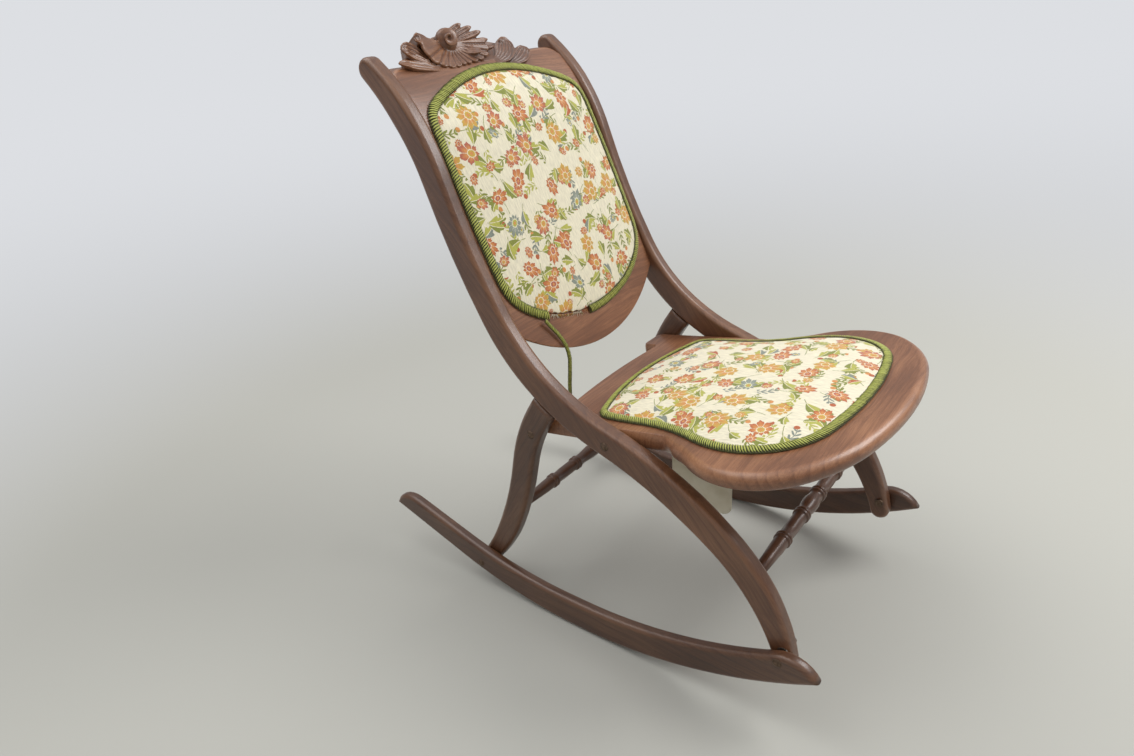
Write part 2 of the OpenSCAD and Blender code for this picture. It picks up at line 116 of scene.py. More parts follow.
class ChairStage(bpy.types.PropertyGroup):
    floor: colour_property("Floor", "Plain pale floor", "#b6b5ad")
    backdrop: colour_property("Backdrop", "Pale surround behind the chair", "#dddfe3")
    key: bpy.props.FloatProperty(
        name="Key light", description="Power of the large soft light", default=58, min=0,
        unit="POWER")
    fill: bpy.props.FloatProperty(
        name="Fill", description="Strength of the even light all round", default=0.62, min=0, max=2)


# ---------- Outlines of the flat and bent pieces, in millimetres ----------

def distances(points):
    """Distance along a line of points, at each of them."""
    return np.concatenate([[0], np.cumsum(np.linalg.norm(np.diff(points, axis=0), axis=1))])


def trace(start, heading, bends, step=2.0):
    """Points along a path of bends, each given as length and turn in degrees."""
    points, at, h = [], np.array(start, float), math.radians(heading)
    for length, turn in bends:
        n = max(2, math.ceil(abs(turn) / step))
        t = math.radians(turn)
        for k in range(n):
            f = k / n
            if abs(t) < 1e-4:
                points.append(at + f * length * np.array([math.cos(h), math.sin(h)]))
            else:
                r = length / t
                points.append(at + r * np.array([
                    math.sin(h + f * t) - math.sin(h), math.cos(h) - math.cos(h + f * t)]))
        if abs(t) < 1e-4:
            at = at + length * np.array([math.cos(h), math.sin(h)])
        else:
            r = length / t
            at = at + r * np.array([math.sin(h + t) - math.sin(h), math.cos(h) - math.cos(h + t)])
        h += t
    return np.array(points + [at])


def whole(half):
    """Closed outline from its right half, which runs from the middle round to the middle."""
    half = np.array(half, float)
    return np.vstack([half, (half[1:-1] * [-1, 1])[::-1]])


def closed_over(half, rise, n=14):
    """Half outline with a flat curve from its last point to the middle."""
    end = half[-1]
    f = 1 - np.arange(1, n + 1) / n
    return np.vstack([half, np.stack([end[0] * f, rise - (rise - end[1]) * f * f], axis=1)])


def inward(outline):
    """Steps into a closed anticlockwise outline that move each of its sides by 1."""
    ahead = np.roll(outline, -1, axis=0) - outline
    ahead /= np.maximum(np.linalg.norm(ahead, axis=1), 1e-9)[:, None]
    d = (ahead + np.roll(ahead, 1, axis=0)) / 2
    size = np.maximum(np.linalg.norm(d, axis=1), 1e-9)
    return np.stack([-d[:, 1], d[:, 0]], axis=1) / (size * np.maximum(size, 0.6))[:, None]


def inset(outline, distance):
    return outline + inward(outline) * np.reshape(distance, (-1, 1))


def even(outline, step):
    """The closed outline again, at even steps of about the given length."""
    loop = np.vstack([outline, outline[:1]])
    s = distances(loop)
    n = max(8, round(s[-1] / step))
    at = np.arange(n) * s[-1] / n
    return np.stack([np.interp(at, s, loop[:, i]) for i in (0, 1)], axis=1)


def well_spaced(outline, gap):
    """The outline with its long sides divided, and with no point just beside a corner."""
    def turn(i):
        a, b, c = (outline[j % len(outline)] for j in (i - 1, i, i + 1))
        return np.dot(b - a, c - b) / np.linalg.norm(b - a) / np.linalg.norm(c - b)

    sharp = [i for i in range(len(outline)) if turn(i) < 0.5]
    kept = [q for i, q in enumerate(outline) if i in sharp or all(
        np.linalg.norm(q - outline[j]) > 0.8 * gap for j in sharp)]
    points = []
    for q, following in zip(kept, kept[1:] + kept[:1]):
        parts = max(1, int(np.linalg.norm(following - q) / gap))
        points += [q + (following - q) * k / parts for k in range(parts)]
    return np.array(points)


def side_outline(node):
    """Outline in the side view of a flat CAD piece, anticlockwise, from its outer face."""
    form = bmesh.new()
    form.from_mesh(NODES[node].data)
    bmesh.ops.remove_doubles(form, verts=form.verts, dist=1e-6)
    outer = max((v.co.x for v in form.verts), key=abs)
    face_set = {f for f in form.faces if all(abs(v.co.x - outer) < 1e-6 for v in f.verts)}
    rim = {}
    for e in form.edges:
        if len([f for f in e.link_faces if f in face_set]) == 1:
            for a, b in (e.verts, reversed(e.verts)):
                rim.setdefault(a.index, []).append(b.index)
    form.verts.ensure_lookup_table()
    place = {v.index: (v.co.y / MM, v.co.z / MM) for v in form.verts}
    loops, left = [], set(rim)
    while left:
        first = left.pop()
        loop, last, now = [first], None, first
        while True:
            ahead = [i for i in rim[now] if i != last]
            last, now = now, ahead[0]
            if now == first:
                break
            left.discard(now)
            loop.append(now)
        loops.append(np.array([place[i] for i in loop]))
    form.free()
    outline = max(loops, key=lambda q: np.ptp(q[:, 0]) + np.ptp(q[:, 1]))
    x, y = outline[:, 0], outline[:, 1]
    if np.sum(x * np.roll(y, -1) - np.roll(x, -1) * y) < 0:
        outline = outline[::-1]
    return outline, outer / MM


# ---------- Meshes ----------

def contains(outline, points):
    """Which points lie inside a closed outline."""
    inside = np.zeros(len(points), bool)
    x, y = points[:, 0], points[:, 1]
    for (x1, y1), (x2, y2) in zip(outline, np.roll(outline, -1, axis=0)):
        if y1 != y2:
            cross = (y1 > y) != (y2 > y)
            inside ^= cross & (x < (x2 - x1) * (y - y1) / (y2 - y1) + x1)
    return inside


def filled(outline, cell):
    """Points and triangles that fill an outline, with a grid of points inside it."""
    low, high = outline.min(0), outline.max(0)
    gx, gy = np.meshgrid(
        np.arange(low[0] + cell / 2, high[0], cell), np.arange(low[1] + cell / 2, high[1], cell))
    grid = np.stack([gx.ravel(), gy.ravel()], axis=1)
    grid = grid[contains(inset(outline, cell * 0.5), grid)]
    n = len(outline)
    points = [Vector(p) for p in np.vstack([outline, grid])]
    made = geometry.delaunay_2d_cdt(
        points, [(i, (i + 1) % n) for i in range(n)], [], 1, 1e-5)
    order = {}
    for new, old in enumerate(made[3]):
        for i in old:
            order.setdefault(i, new)
    return np.array([tuple(v) for v in made[0]]), made[2], [order[i] for i in range(n)]


def bands(n, rings):
    """Faces between closed rings of n points each."""
    return [(j * n + i, j * n + (i + 1) % n, (j + 1) * n + (i + 1) % n, (j + 1) * n + i)
            for j in range(rings - 1) for i in range(n)]


def mesh_object(name, points, faces, smooth=True, **attributes):
    """Object from points in millimetres, with vector or number attributes at its points."""
    mesh = bpy.data.meshes.new(name)
    mesh.from_pydata((np.asarray(points) * MM).tolist(), [], [tuple(f) for f in faces])
    for key, values in attributes.items():
        values = np.asarray(values, np.float32)
        kind, word = ("FLOAT_VECTOR", "vector") if values.ndim == 2 else ("FLOAT", "value")
        mesh.attributes.new(key, kind, "POINT").data.foreach_set(word, values.ravel())
    if smooth:
        mesh.shade_smooth()
    piece = bpy.data.objects.new(name, mesh)
    bpy.context.scene.collection.objects.link(piece)
    form = bmesh.new()
    form.from_mesh(mesh)
    bmesh.ops.recalc_face_normals(form, faces=form.faces)
    form.to_mesh(mesh)
    form.free()
    return piece


def board(name, rings, place, grain, cell=None, arris=None):
    """Board through rings of (outline, depth), front ring first, with its two faces filled.

    place turns outline points and depths into the chair's millimetres, grain into the
    board's own axes: along the grain, across it and through the board.
    """
    n = len(rings[0][0])
    flat = np.vstack([r for r, _ in rings])
    depth = np.concatenate([np.broadcast_to(d, n) for _, d in rings]).astype(float)
    rub = np.zeros(len(flat)) if arris is None else np.repeat(arris, n)
    faces = bands(n, len(rings))
    for ring, first in ((0, 0), (len(rings) - 1, (len(rings) - 1) * n)):
        if cell is None:
            faces.append(tuple(range(first, first + n)))
            continue
        points, triangles, order = filled(rings[ring][0], cell)
        names = {new: first + i for i, new in enumerate(order)}
        inner = [i for i in range(len(points)) if i not in names]
        names.update({i: len(flat) + k for k, i in enumerate(inner)})
        flat = np.vstack([flat, points[inner]])
        depth = np.concatenate([depth, np.full(len(inner), np.mean(rings[ring][1]))])
        rub = np.concatenate([rub, np.zeros(len(inner))])
        faces += [tuple(names[i] for i in t) for t in triangles]
    piece = mesh_object(name, place(flat, depth), faces, grain=grain(flat, depth), rub=rub)
    weigh = piece.modifiers.new("Flat faces stay flat", "WEIGHTED_NORMAL")
    weigh.weight = 100
    weigh.keep_sharp = True
    return piece


def rounded(outline, thickness, radius, steps=5):
    """Rings of a board whose two arrises are rounded, and how rubbed each ring is."""
    rings, rub = [], []
    for side in (0, 1):
        for k in range(steps + 1):
            a = math.pi / 2 * k / steps
            across, down = radius * (1 - math.sin(a)), radius * (1 - math.cos(a))
            if side:
                across, down = radius * (1 - math.cos(a)), thickness - radius * (1 - math.sin(a))
            rings.append((inset(outline, across), down))
            rub.append(math.sin(2 * a))
    return rings, rub


def turn_axes(angle):
    c, s = math.cos(math.radians(angle)), math.sin(math.radians(angle))
    return np.array([[c, s], [-s, c]])


def bar(name, node, angle, body):
    """Flat frame piece with rounded arrises, its grain at an angle in the side view."""
    outline, outer = side_outline(node)
    outline = well_spaced(outline, 12.0)
    inner = min((v.co.x / MM for v in NODES[node].data.vertices), key=abs)
    side, thickness = math.copysign(1, outer), abs(outer - inner)
    radius = bpy.context.scene.chair_wood.arris / MM
    rings, rub = rounded(outline, thickness, radius)
    axes = turn_axes(angle)

    def place(q, d):
        return np.column_stack([side * (abs(outer) - d), q])

    def grain(q, d):
        return np.column_stack([q @ axes.T, d * side + outer])

    piece = board(name, rings, place, grain, arris=rub)
    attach(piece, body)
    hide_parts(node)
    return piece


def lathe(name, profile, centre, body, node):
    """Turned piece across the chair, from (distance, radius) pairs on both sides of the middle."""
    n = 40
    a = np.arange(n) * 2 * math.pi / n
    points = np.array([
        (x, centre[0] + r * math.cos(t), centre[1] + r * math.sin(t))
        for x, r in profile for t in a])
    faces = [tuple(range(n)), tuple(range((len(profile) - 1) * n, len(profile) * n))]
    for j in range(len(profile) - 1):
        for i in range(n):
            k = (i + 1) % n
            faces.append((j * n + i, j * n + k, (j + 1) * n + k, (j + 1) * n + i))
    local = points - [0, centre[0] - 9, centre[1] + 14]
    piece = mesh_object(name, points, faces, grain=local, rub=np.zeros(len(points)))
    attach(piece, body)
    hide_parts(node)
    return piece


# ---------- Where the tilted and bent pieces lie ----------

SEAT_PIVOT = np.array([-62.0, 355.0])
SEAT_TILT = math.radians(8.9)
PIVOT_DEPTH = 15.0
PANEL_FOOT = np.array([73.5, 405.0])
PANEL_STRAIGHT = 380.0
PANEL_ANGLE = math.radians(66.6)
PANEL_RADIUS = 150.0 / math.radians(32.0)
PANEL_BEND_AT = PANEL_FOOT + PANEL_STRAIGHT * np.array([
    math.cos(PANEL_ANGLE), math.sin(PANEL_ANGLE)])


def on_seat(q, height):
    """Points drawn flat on the seat board's top, in the chair's place."""
    c, s = math.cos(SEAT_TILT), math.sin(SEAT_TILT)
    up = np.asarray(height) + PIVOT_DEPTH
    return np.column_stack([
        q[:, 0], SEAT_PIVOT[0] + q[:, 1] * c + up * s, SEAT_PIVOT[1] - q[:, 1] * s + up * c])


def flat_on_seat(points):
    """Drawing position (x, y, height) of points in the chair's place."""
    c, s = math.cos(SEAT_TILT), math.sin(SEAT_TILT)
    y, z = points[:, 1] - SEAT_PIVOT[0], points[:, 2] - SEAT_PIVOT[1]
    return np.column_stack([points[:, 0], y * c - z * s, y * s + z * c - PIVOT_DEPTH])


def panel_heading(z):
    bent = np.clip((z - PANEL_BEND_AT[1]) / PANEL_RADIUS + math.cos(PANEL_ANGLE), -1, 1)
    return np.where(z <= PANEL_BEND_AT[1], PANEL_ANGLE, np.arccos(bent))


def on_panel(q, height):
    """Points drawn in the front view (x, z), a height in front of the back panel's face."""
    z = q[:, 1]
    h = panel_heading(z)
    y = np.where(
        z <= PANEL_BEND_AT[1],
        PANEL_BEND_AT[0] + (z - PANEL_BEND_AT[1]) / math.tan(PANEL_ANGLE),
        PANEL_BEND_AT[0] + PANEL_RADIUS * (math.sin(PANEL_ANGLE) - np.sin(h)))
    return np.column_stack([q[:, 0], y - height * np.sin(h), z + height * np.cos(h)])


def behind_panel(q, depth):
    """Points of the front view on the sheet that lies a depth behind the back panel's face."""
    at = q[:, 1]
    for _ in range(6):
        at = q[:, 1] + depth * np.cos(panel_heading(at))
    return on_panel(np.column_stack([q[:, 0], at]), -depth)


def up_panel(z):
    """Distance up the panel's bent face to a height."""
    straight = (z - PANEL_FOOT[1]) / math.sin(PANEL_ANGLE)
    return np.where(
        z <= PANEL_BEND_AT[1], straight,
        PANEL_STRAIGHT + PANEL_RADIUS * (PANEL_ANGLE - panel_heading(z)))


# ---------- Materials ----------

def put(tree, kind, *given, out=0, stops=None, **settings):
    """Add one node and give one of its outputs, or all of them where out is None.

    The kind may name an operation too. Links and values fill the inputs that are in use, in
    order, and a dictionary at the end fills inputs by name."""
    kind, _, operation = kind.partition(" ")
    node = tree.nodes.new(kind if kind.startswith("Node") else "ShaderNode" + kind)
    if operation:
        node.operation = operation
    for key, value in settings.items():
        setattr(node, key, value)
    named = given[-1] if given and isinstance(given[-1], dict) else {}
    filled_in = [(node.inputs[key], value) for key, value in named.items()]
    in_order = given[:-1] if named else given
    filled_in += zip([socket for socket in node.inputs if socket.enabled], in_order)
    for socket, value in filled_in:
        if isinstance(value, bpy.types.NodeSocket):
            tree.links.new(value, socket)
        else:
            short = socket.type == "RGBA" and len(value) == 3
            socket.default_value = (*value, 1) if short else value
    if stops:
        ramp = node.color_ramp
        while len(ramp.elements) < len(stops):
            ramp.elements.new(0.5)
        for element, (position, colour) in zip(ramp.elements, stops):
            element.position = position
            element.color = (*colour, 1)
    if out is None:
        return node.outputs
    if out == 0:
        return next((socket for socket in node.outputs if socket.enabled), None)
    return node.outputs[out]


def new_material(name):
    material = bpy.data.materials.new(name)
    material.use_nodes = True
    material.node_tree.nodes.clear()
    return material, partial(put, material.node_tree)


def covered(add, relief, inputs):
    """Close a material: its relief as height, strength and depth, and the shader's inputs."""
    height, strength, depth = relief
    bump = add("Bump", {"Height": height, "Strength": strength, "Distance": depth})
    add("OutputMaterial", add("BsdfPrincipled", {"Normal": bump, **inputs}))


def stained_walnut(name, tone=1.0, cathedral=1.0):
    """Walnut boards, planed, stained brown and varnished to a satin: the eye gets faint
    growth rings that run out in arches, fine dark streaks, and a shine along rounded edges."""
    wood = bpy.context.scene.chair_wood
    material, add = new_material(name)
    at = add("Attribute", attribute_name="grain", out="Vector")
    rub = add("Attribute", attribute_name="rub", out="Fac")
    # Slow waver of the grain, over about 200 mm
    waver = add("TexNoise", {"Vector": add("VectorMath MULTIPLY", at, (0.004, 0.011, 0.011)),
                             "Scale": 1.0, "Detail": 2.0}, out="Color")
    bent = add("VectorMath MULTIPLY_ADD", add("VectorMath SUBTRACT", waver, (0.5, 0.5, 0.5)),
               (0, 44 * cathedral, 40 * cathedral), at)
    # Growth rings round a heart that lies some way under the board
    round_heart = add("VectorMath MULTIPLY", bent, (0.03, 1.0, 0.55))
    from_heart = add("VectorMath LENGTH", add("VectorMath ADD", round_heart, (0, 6, 70)))
    ring = add("Math FRACT", add("Math MULTIPLY", from_heart, MM / wood.ring))
    rings = add("ValToRGB", ring, stops=[
        (0.0, (0.42,) * 3), (0.60, (0.46,) * 3), (0.90, (0.60,) * 3), (1.0, (0.42,) * 3)])
    streaks, fibres, pores, patch = (
        add("TexNoise", {"Vector": add("VectorMath MULTIPLY", source, stretch),
                         "Scale": 1.0, "Detail": detail, "Roughness": rough})
        for source, stretch, detail, rough in (
            # Streaks, 3 to 4 mm wide and 150 mm long
            (bent, (0.006, 0.28, 0.28), 4.0, 0.6),
            # Fibres, drawn 1 mm wide so that they show
            (bent, (0.02, 1.0, 1.0), 4.0, 0.65),
            # Pores, drawn 0.6 mm wide and 8 mm long, twice as coarse as real so that they show
            (at, (0.12, 1.7, 1.7), 2.0, 0.6),
            # Stain that took unevenly, in patches of about 90 mm
            (at, (0.006, 0.012, 0.012), 3.0, 0.5)))
    pore = add("MapRange", pores, 0.60, 0.74)
    depth = -0.23
    for value, share in (
            (rings, 0.40), (streaks, 0.28), (fibres, 0.30), (patch, 0.48), (rub, -0.12)):
        depth = add("Math MULTIPLY_ADD", value, share, depth)
    # tone makes lighter and darkened copies of the one stain, which paint light and shade onto
    # whole pieces: lightened on the seat and back, darkened on the rails, rungs, legs and rockers
    light, middle, dark = (
        [c * tone for c in colour] for colour in (wood.light, wood.middle, wood.dark))
    colour = add("ValToRGB", depth, stops=[(0.28, light), (0.50, middle), (0.80, dark)])
    colour = add("Mix", add("Math MULTIPLY", pore, 0.40), colour, [c * 0.5 for c in dark],
                 data_type="RGBA")
    rough = add("Math MULTIPLY_ADD", pore, 0.2, add("MapRange", fibres, 0.3, 0.75, 0.36, 0.48))
    covered(add, (add("Math MULTIPLY_ADD", pore, -0.8, fibres), 0.35, 0.00018), {
        "Base Color": colour, "Roughness": rough, "IOR": 1.5,
        "Coat Weight": 0.45, "Coat Roughness": 0.24, "Coat IOR": 1.5})
    return material


def aged_steel(name, colour, rough):
    """Mild steel hardware, blued and dulled with age: a dark grey gleam with brown bloom."""
    material, add = new_material(name)
    # Bloom of about 3 mm
    bloom = add("TexNoise", {
        "Vector": add("TexCoord", out="Object"), "Scale": 330.0, "Detail": 4.0})
    colour = linear(colour)
    covered(add, (bloom, 0.3, 0.0001), {
        "Base Color": add("ValToRGB", bloom, stops=[
            (0.35, colour), (0.7, [c * 0.55 for c in colour])]),
        "Metallic": 1.0, "Roughness": add("MapRange", bloom, 0.3, 0.7, rough, rough + 0.2)})
    return material


def figure_group(name, *numbers):
    """New node group for a figure of the print: how to add to it, and its inputs."""
    group = bpy.data.node_groups.new(name, "ShaderNodeTree")
    for key in ("At", *numbers):
        group.interface.new_socket(
            key, in_out="INPUT", socket_type="NodeSocket" + ("Vector" if key == "At" else "Float"))
    add = partial(put, group)
    return group, add, add("NodeGroupInput", out=None)


def figure_out(group, colour, mask):
    for key, kind in (("Colour", "Color"), ("Mask", "Float")):
        group.interface.new_socket(key, in_out="OUTPUT", socket_type="NodeSocket" + kind)
    put(group, "NodeGroupOutput", {"Colour": colour, "Mask": mask})
    return group


def flower_group():
    """Open flower seen from above: parted, toothed petals and a pale line round the heart."""
    cloth = bpy.context.scene.chair_tapestry
    group, add, given = figure_group("Tapestry flower", "Radius", "Petals", "Hue")
    xyz = add("SeparateXYZ", given["At"], out=None)
    angle = add("Math ARCTAN2", xyz["Y"], xyz["X"])
    reach = add("Math DIVIDE", add("VectorMath LENGTH", given["At"]), given["Radius"])
    petals = add("Math ROUND", given["Petals"])
    half_turn = add("Math MULTIPLY", add("Math MULTIPLY", petals, 0.5), angle)
    crown = add("Math ABSOLUTE", add("Math COSINE", half_turn))
    # A petal's tip is pointed, its sides are round, and the petals on one side are longer
    edge = 0.80
    for value, share in (
            (add("Math POWER", crown, 0.6), 0.26),
            (add("Math ABSOLUTE", add("Math SINE", half_turn)), -0.14),
            (add("Math COSINE", add("Math MULTIPLY", half_turn, 6.0)), 0.04)):
        edge = add("Math MULTIPLY_ADD", value, share, edge)
    longer = add("Math MULTIPLY_ADD", add("Math COSINE", angle), -0.28, 1.0)
    share = add("Math DIVIDE", reach, add("Math MULTIPLY", edge, longer))
    # The petals part by a line of ground that narrows towards the heart
    parted = add("Math GREATER_THAN", add("Math MULTIPLY", crown, reach), 0.09)
    slate = add("Math GREATER_THAN", given["Hue"], 0.90)
    gold = add("Math LESS_THAN", given["Hue"], 0.16)
    rosy = add("Math COMPARE", given["Hue"], 0.30, 0.08)
    pink = add("Math GREATER_THAN", given["Hue"], 0.55)
    dark = cloth.rust
    for mask, other in ((slate, cloth.slate), (gold, cloth.ochre), (rosy, cloth.rose)):
        dark = add("Mix", mask, dark, other, data_type="RGBA")
    pale = add("Mix", slate, cloth.orange, [c * 1.25 for c in cloth.slate], data_type="RGBA")
    petal = add("Mix", add("MapRange", share, 0.45, 0.95), pale, dark, data_type="RGBA")
    middle = cloth.ochre
    for mask, other in ((pink, cloth.rose), (slate, cloth.lime)):
        middle = add("Mix", mask, middle, other, data_type="RGBA")
    # The line round the heart is scalloped
    scallop = add("Math SINE", add("Math MULTIPLY", angle, 9.0))
    inner = add("Math MULTIPLY_ADD", scallop, 0.025, reach)
    colour = cloth.ground
    for mask, other in (
            (parted, petal), (add("Math COMPARE", inner, 0.38, 0.04), cloth.ground),
            (add("Math LESS_THAN", inner, 0.34), middle),
            (add("Math LESS_THAN", reach, 0.16), cloth.orange)):
        colour = add("Mix", mask, colour, other, data_type="RGBA")
    return figure_out(group, colour, add("Math LESS_THAN", share, 1.0))


def leaf_group():
    """Lobed leaf along X with one light half, a pale vein and a curved stem behind it."""
    cloth = bpy.context.scene.chair_tapestry
    group, add, given = figure_group("Tapestry leaf", "Length", "Hue")
    xyz = add("SeparateXYZ", given["At"], out=None)
    # Bend the leaf's line a little
    along = add("Math DIVIDE", xyz["X"], given["Length"])
    across = add("Math MULTIPLY_ADD", add("Math MULTIPLY", along, along), -9.0, xyz["Y"])
    aside = add("Math ABSOLUTE", across)
    # Lobes lean towards the tip
    t = add("Math ADD", along, 0.5)
    lean = add("Math MULTIPLY", add("Math MULTIPLY_ADD", aside, -0.05, t), 4.2)
    half = add("Math MULTIPLY_ADD", add("Math PINGPONG", lean, 1.0), 0.5, 0.5)
    for factor in (add("Math SINE", add("Math MULTIPLY", t, math.pi)), given["Length"], 0.36):
        half = add("Math MULTIPLY", half, factor)
    on = add("Math COMPARE", t, 0.5, 0.5)
    inside = add("Math MULTIPLY", add("Math LESS_THAN", aside, half), on)
    cool = add("Math GREATER_THAN", given["Hue"], 0.90)
    warm = add("Math LESS_THAN", given["Hue"], 0.06)
    leaf = cloth.olive
    for mask, other in (
            (cool, cloth.slate), (warm, cloth.rust),
            (add("Math GREATER_THAN", across, 0.0), cloth.lime),
            (add("Math LESS_THAN", aside, 0.5), cloth.ground)):
        leaf = add("Mix", mask, leaf, other, data_type="RGBA")
    stem = add("Math MULTIPLY", add("Math LESS_THAN", aside, 0.55),
               add("Math COMPARE", along, -0.7, 0.45))
    return figure_out(group, add("Mix", inside, cloth.olive, leaf, data_type="RGBA"),
                      add("Math MAXIMUM", inside, stem))


def sprig_group():
    """Curved twig with small paired leaves and a bud at its tip."""
    cloth = bpy.context.scene.chair_tapestry
    group, add, given = figure_group("Tapestry sprig", "Hue")
    xyz = add("SeparateXYZ", given["At"], out=None)
    across = add("Math MULTIPLY_ADD", add("Math MULTIPLY", xyz["X"], xyz["X"]), -0.028, xyz["Y"])
    aside = add("Math ABSOLUTE", across)
    on = add("Math COMPARE", xyz["X"], 0.0, 10.5)
    twig = add("Math MULTIPLY", add("Math LESS_THAN", aside, 0.5), on)
    # Small leaves in pairs, slanted back from the twig
    slot = add("Math WRAP", add("Math MULTIPLY_ADD", aside, -1.1, xyz["X"]), 3.3, -3.3)
    from_leaf = add("CombineXYZ", add("Math DIVIDE", slot, 1.8),
                    add("Math DIVIDE", add("Math SUBTRACT", aside, 2.7), 2.3))
    leaf = add("Math LESS_THAN", add("VectorMath LENGTH", from_leaf), 1.0)
    leaf = add("Math MULTIPLY", leaf, on)
    bud = add("Math LESS_THAN", add("VectorMath DISTANCE", given["At"], (12.5, 4.4, 0.0)), 2.9)
    lit = add("Math GREATER_THAN", given["Hue"], 0.4)
    cool = add("Math GREATER_THAN", given["Hue"], 0.8)
    tip = add("Mix", lit, cloth.orange, cloth.rust, data_type="RGBA")
    colour = cloth.olive
    for mask, other in ((lit, cloth.lime), (cool, cloth.slate), (bud, tip)):
        colour = add("Mix", mask, colour, other, data_type="RGBA")
    return figure_out(group, colour, add("Math MAXIMUM", add("Math MAXIMUM", twig, leaf), bud))


def floral_tapestry():
    """Jacquard tapestry of cotton and rayon: a ribbed cream ground with matt, slightly raised
    figures whose edges step from thread to thread, and a soft bloom at grazing angles."""
    cloth = bpy.context.scene.chair_tapestry
    material, add = new_material("Floral jacquard tapestry, cotton and rayon")
    at = add("Attribute", attribute_name="print", out="Vector")
    woven = add("VectorMath SNAP", at, (cloth.thread / MM,) * 3)
    pitch = cloth.flower_pitch / MM
    flower, leaf, sprig = flower_group(), leaf_group(), sprig_group()
    colour, figure = cloth.ground, 0.0

    # Sprigs, then leaves, then small and large flowers, each scattered over cells: the cells'
    # spacing, shift and looseness, how far a figure may be narrowed as if seen from the side,
    # the share that is kept, and the span of its size
    for group, spacing, offset, loose, narrow, kept, least, more in (
        (sprig, 46.0, (0, 0, 0), 0.7, 0.0, 0.60, 0, 0),
        (sprig, 46.0, (613, 227, 0), 0.7, 0.0, 0.60, 0, 0),
        (leaf, 46.0, (90, 410, 0), 0.75, 0.0, 0.86, 22.0, 14.0),
        (leaf, 46.0, (371, 95, 0), 0.75, 0.0, 0.86, 22.0, 14.0),
        (flower, 0.80 * pitch, (55, 131, 0), 0.55, 0.55, 0.60, 7.5, 4.0),
        (flower, pitch, (0, 0, 0), 0.55, 0.55, 0.92, 15.0, 4.5),
    ):
        moved = add("VectorMath ADD", woven, offset)
        cells = add("TexVoronoi", {"Vector": moved, "Scale": 1 / spacing, "Randomness": loose},
                    voronoi_dimensions="2D", out=None)
        chance = add("SeparateColor", cells["Color"], out=None)
        local = add("VectorRotate", {
            "Vector": add("VectorMath SUBTRACT", moved, cells["Position"]),
            "Angle": add("Math MULTIPLY", chance["Red"], 2 * math.pi)}, rotation_type="Z_AXIS")
        inputs = {"Hue": chance["Blue"]}
        if group == sprig:
            local = add("VectorMath MULTIPLY", local, (0.72, 0.72, 0))
        else:
            size = add("Math MULTIPLY_ADD", chance["Green"], more, least)
            inputs["Length" if group == leaf else "Radius"] = size
        if group == flower:
            squeeze = add("CombineXYZ", 1.0, add("Math MULTIPLY_ADD", chance["Blue"], narrow, 1.0))
            local = add("VectorMath MULTIPLY", local, squeeze)
            inputs["Petals"] = add("Math MULTIPLY_ADD", chance["Red"], 4.0, 6.6)
        made = add("Group", {"At": local, **inputs}, node_tree=group, out=None)
        mask = add("Math MULTIPLY", made["Mask"], add("Math LESS_THAN", chance["Green"], kept))
        colour = add("Mix", mask, colour, made["Colour"], data_type="RGBA")
        figure = add("Math MAXIMUM", figure, mask)

    # Ribs of the ground, 1.9 mm apart and broken up every 14 mm or so
    ribs = add("TexNoise", {"Vector": add("VectorMath MULTIPLY", at, (0.52, 0.07, 0)),
                            "Scale": 1.0, "Detail": 3.0, "Roughness": 0.6})
    # Wefts, drawn 1.4 mm apart so that they show
    weft = add("TexWave", {"Vector": at, "Scale": 0.22, "Distortion": 0.6, "Detail": 1.0},
               bands_direction="Y", out="Fac")
    shade = add("Math MULTIPLY_ADD", weft, 0.05, add("MapRange", ribs, 0.32, 0.68, 0.80, 1.05))
    colour = add("Mix", 1.0, colour, add("CombineColor", shade, shade, shade),
                 data_type="RGBA", blend_type="MULTIPLY")
    height = add("Math MULTIPLY_ADD", ribs, 1.8, figure)
    height = add("Math MULTIPLY_ADD", weft, 0.35, height)
    covered(add, (height, 0.7, 0.0005), {
        "Base Color": colour, "Roughness": 0.88, "IOR": 1.5,
        "Sheen Weight": 0.2, "Sheen Roughness": 0.5})
    return material


def olive_braid():
    """Rayon gimp braid, lime to olive: plaited ribs with a painted highlight on their crowns and
    painted shade in the gaps between them.
    """
    braid = bpy.context.scene.chair_braid
    material, add = new_material("Olive rayon gimp braid")
    at = add("TexCoord", out="Object")
    # crown carries painted light: a painted highlight on the ribs' crowns, and painted shade on
    # their sides, towards their ends and on the tape under them
    crown = add("Attribute", attribute_name="crown", out="Fac")
    # Yarns that take the dye unevenly, every 4 mm or so
    yarn = add("TexNoise", {"Vector": at, "Scale": 260.0, "Detail": 4.0})
    tone = add("Math ADD", add("Math MULTIPLY_ADD", yarn, 0.9, -0.45), crown)
    # Filaments, 0.2 mm
    strand = add("TexNoise", {"Vector": at, "Scale": 2500.0, "Detail": 2.0})
    covered(add, (strand, 0.5, 0.0002), {
        "Base Color": add("ValToRGB", tone, stops=[
            (0.08, braid.shade), (0.42, braid.middle), (0.92, braid.bright)]),
        "Roughness": 0.62, "Sheen Weight": 0.3, "Sheen Roughness": 0.4})
    return material


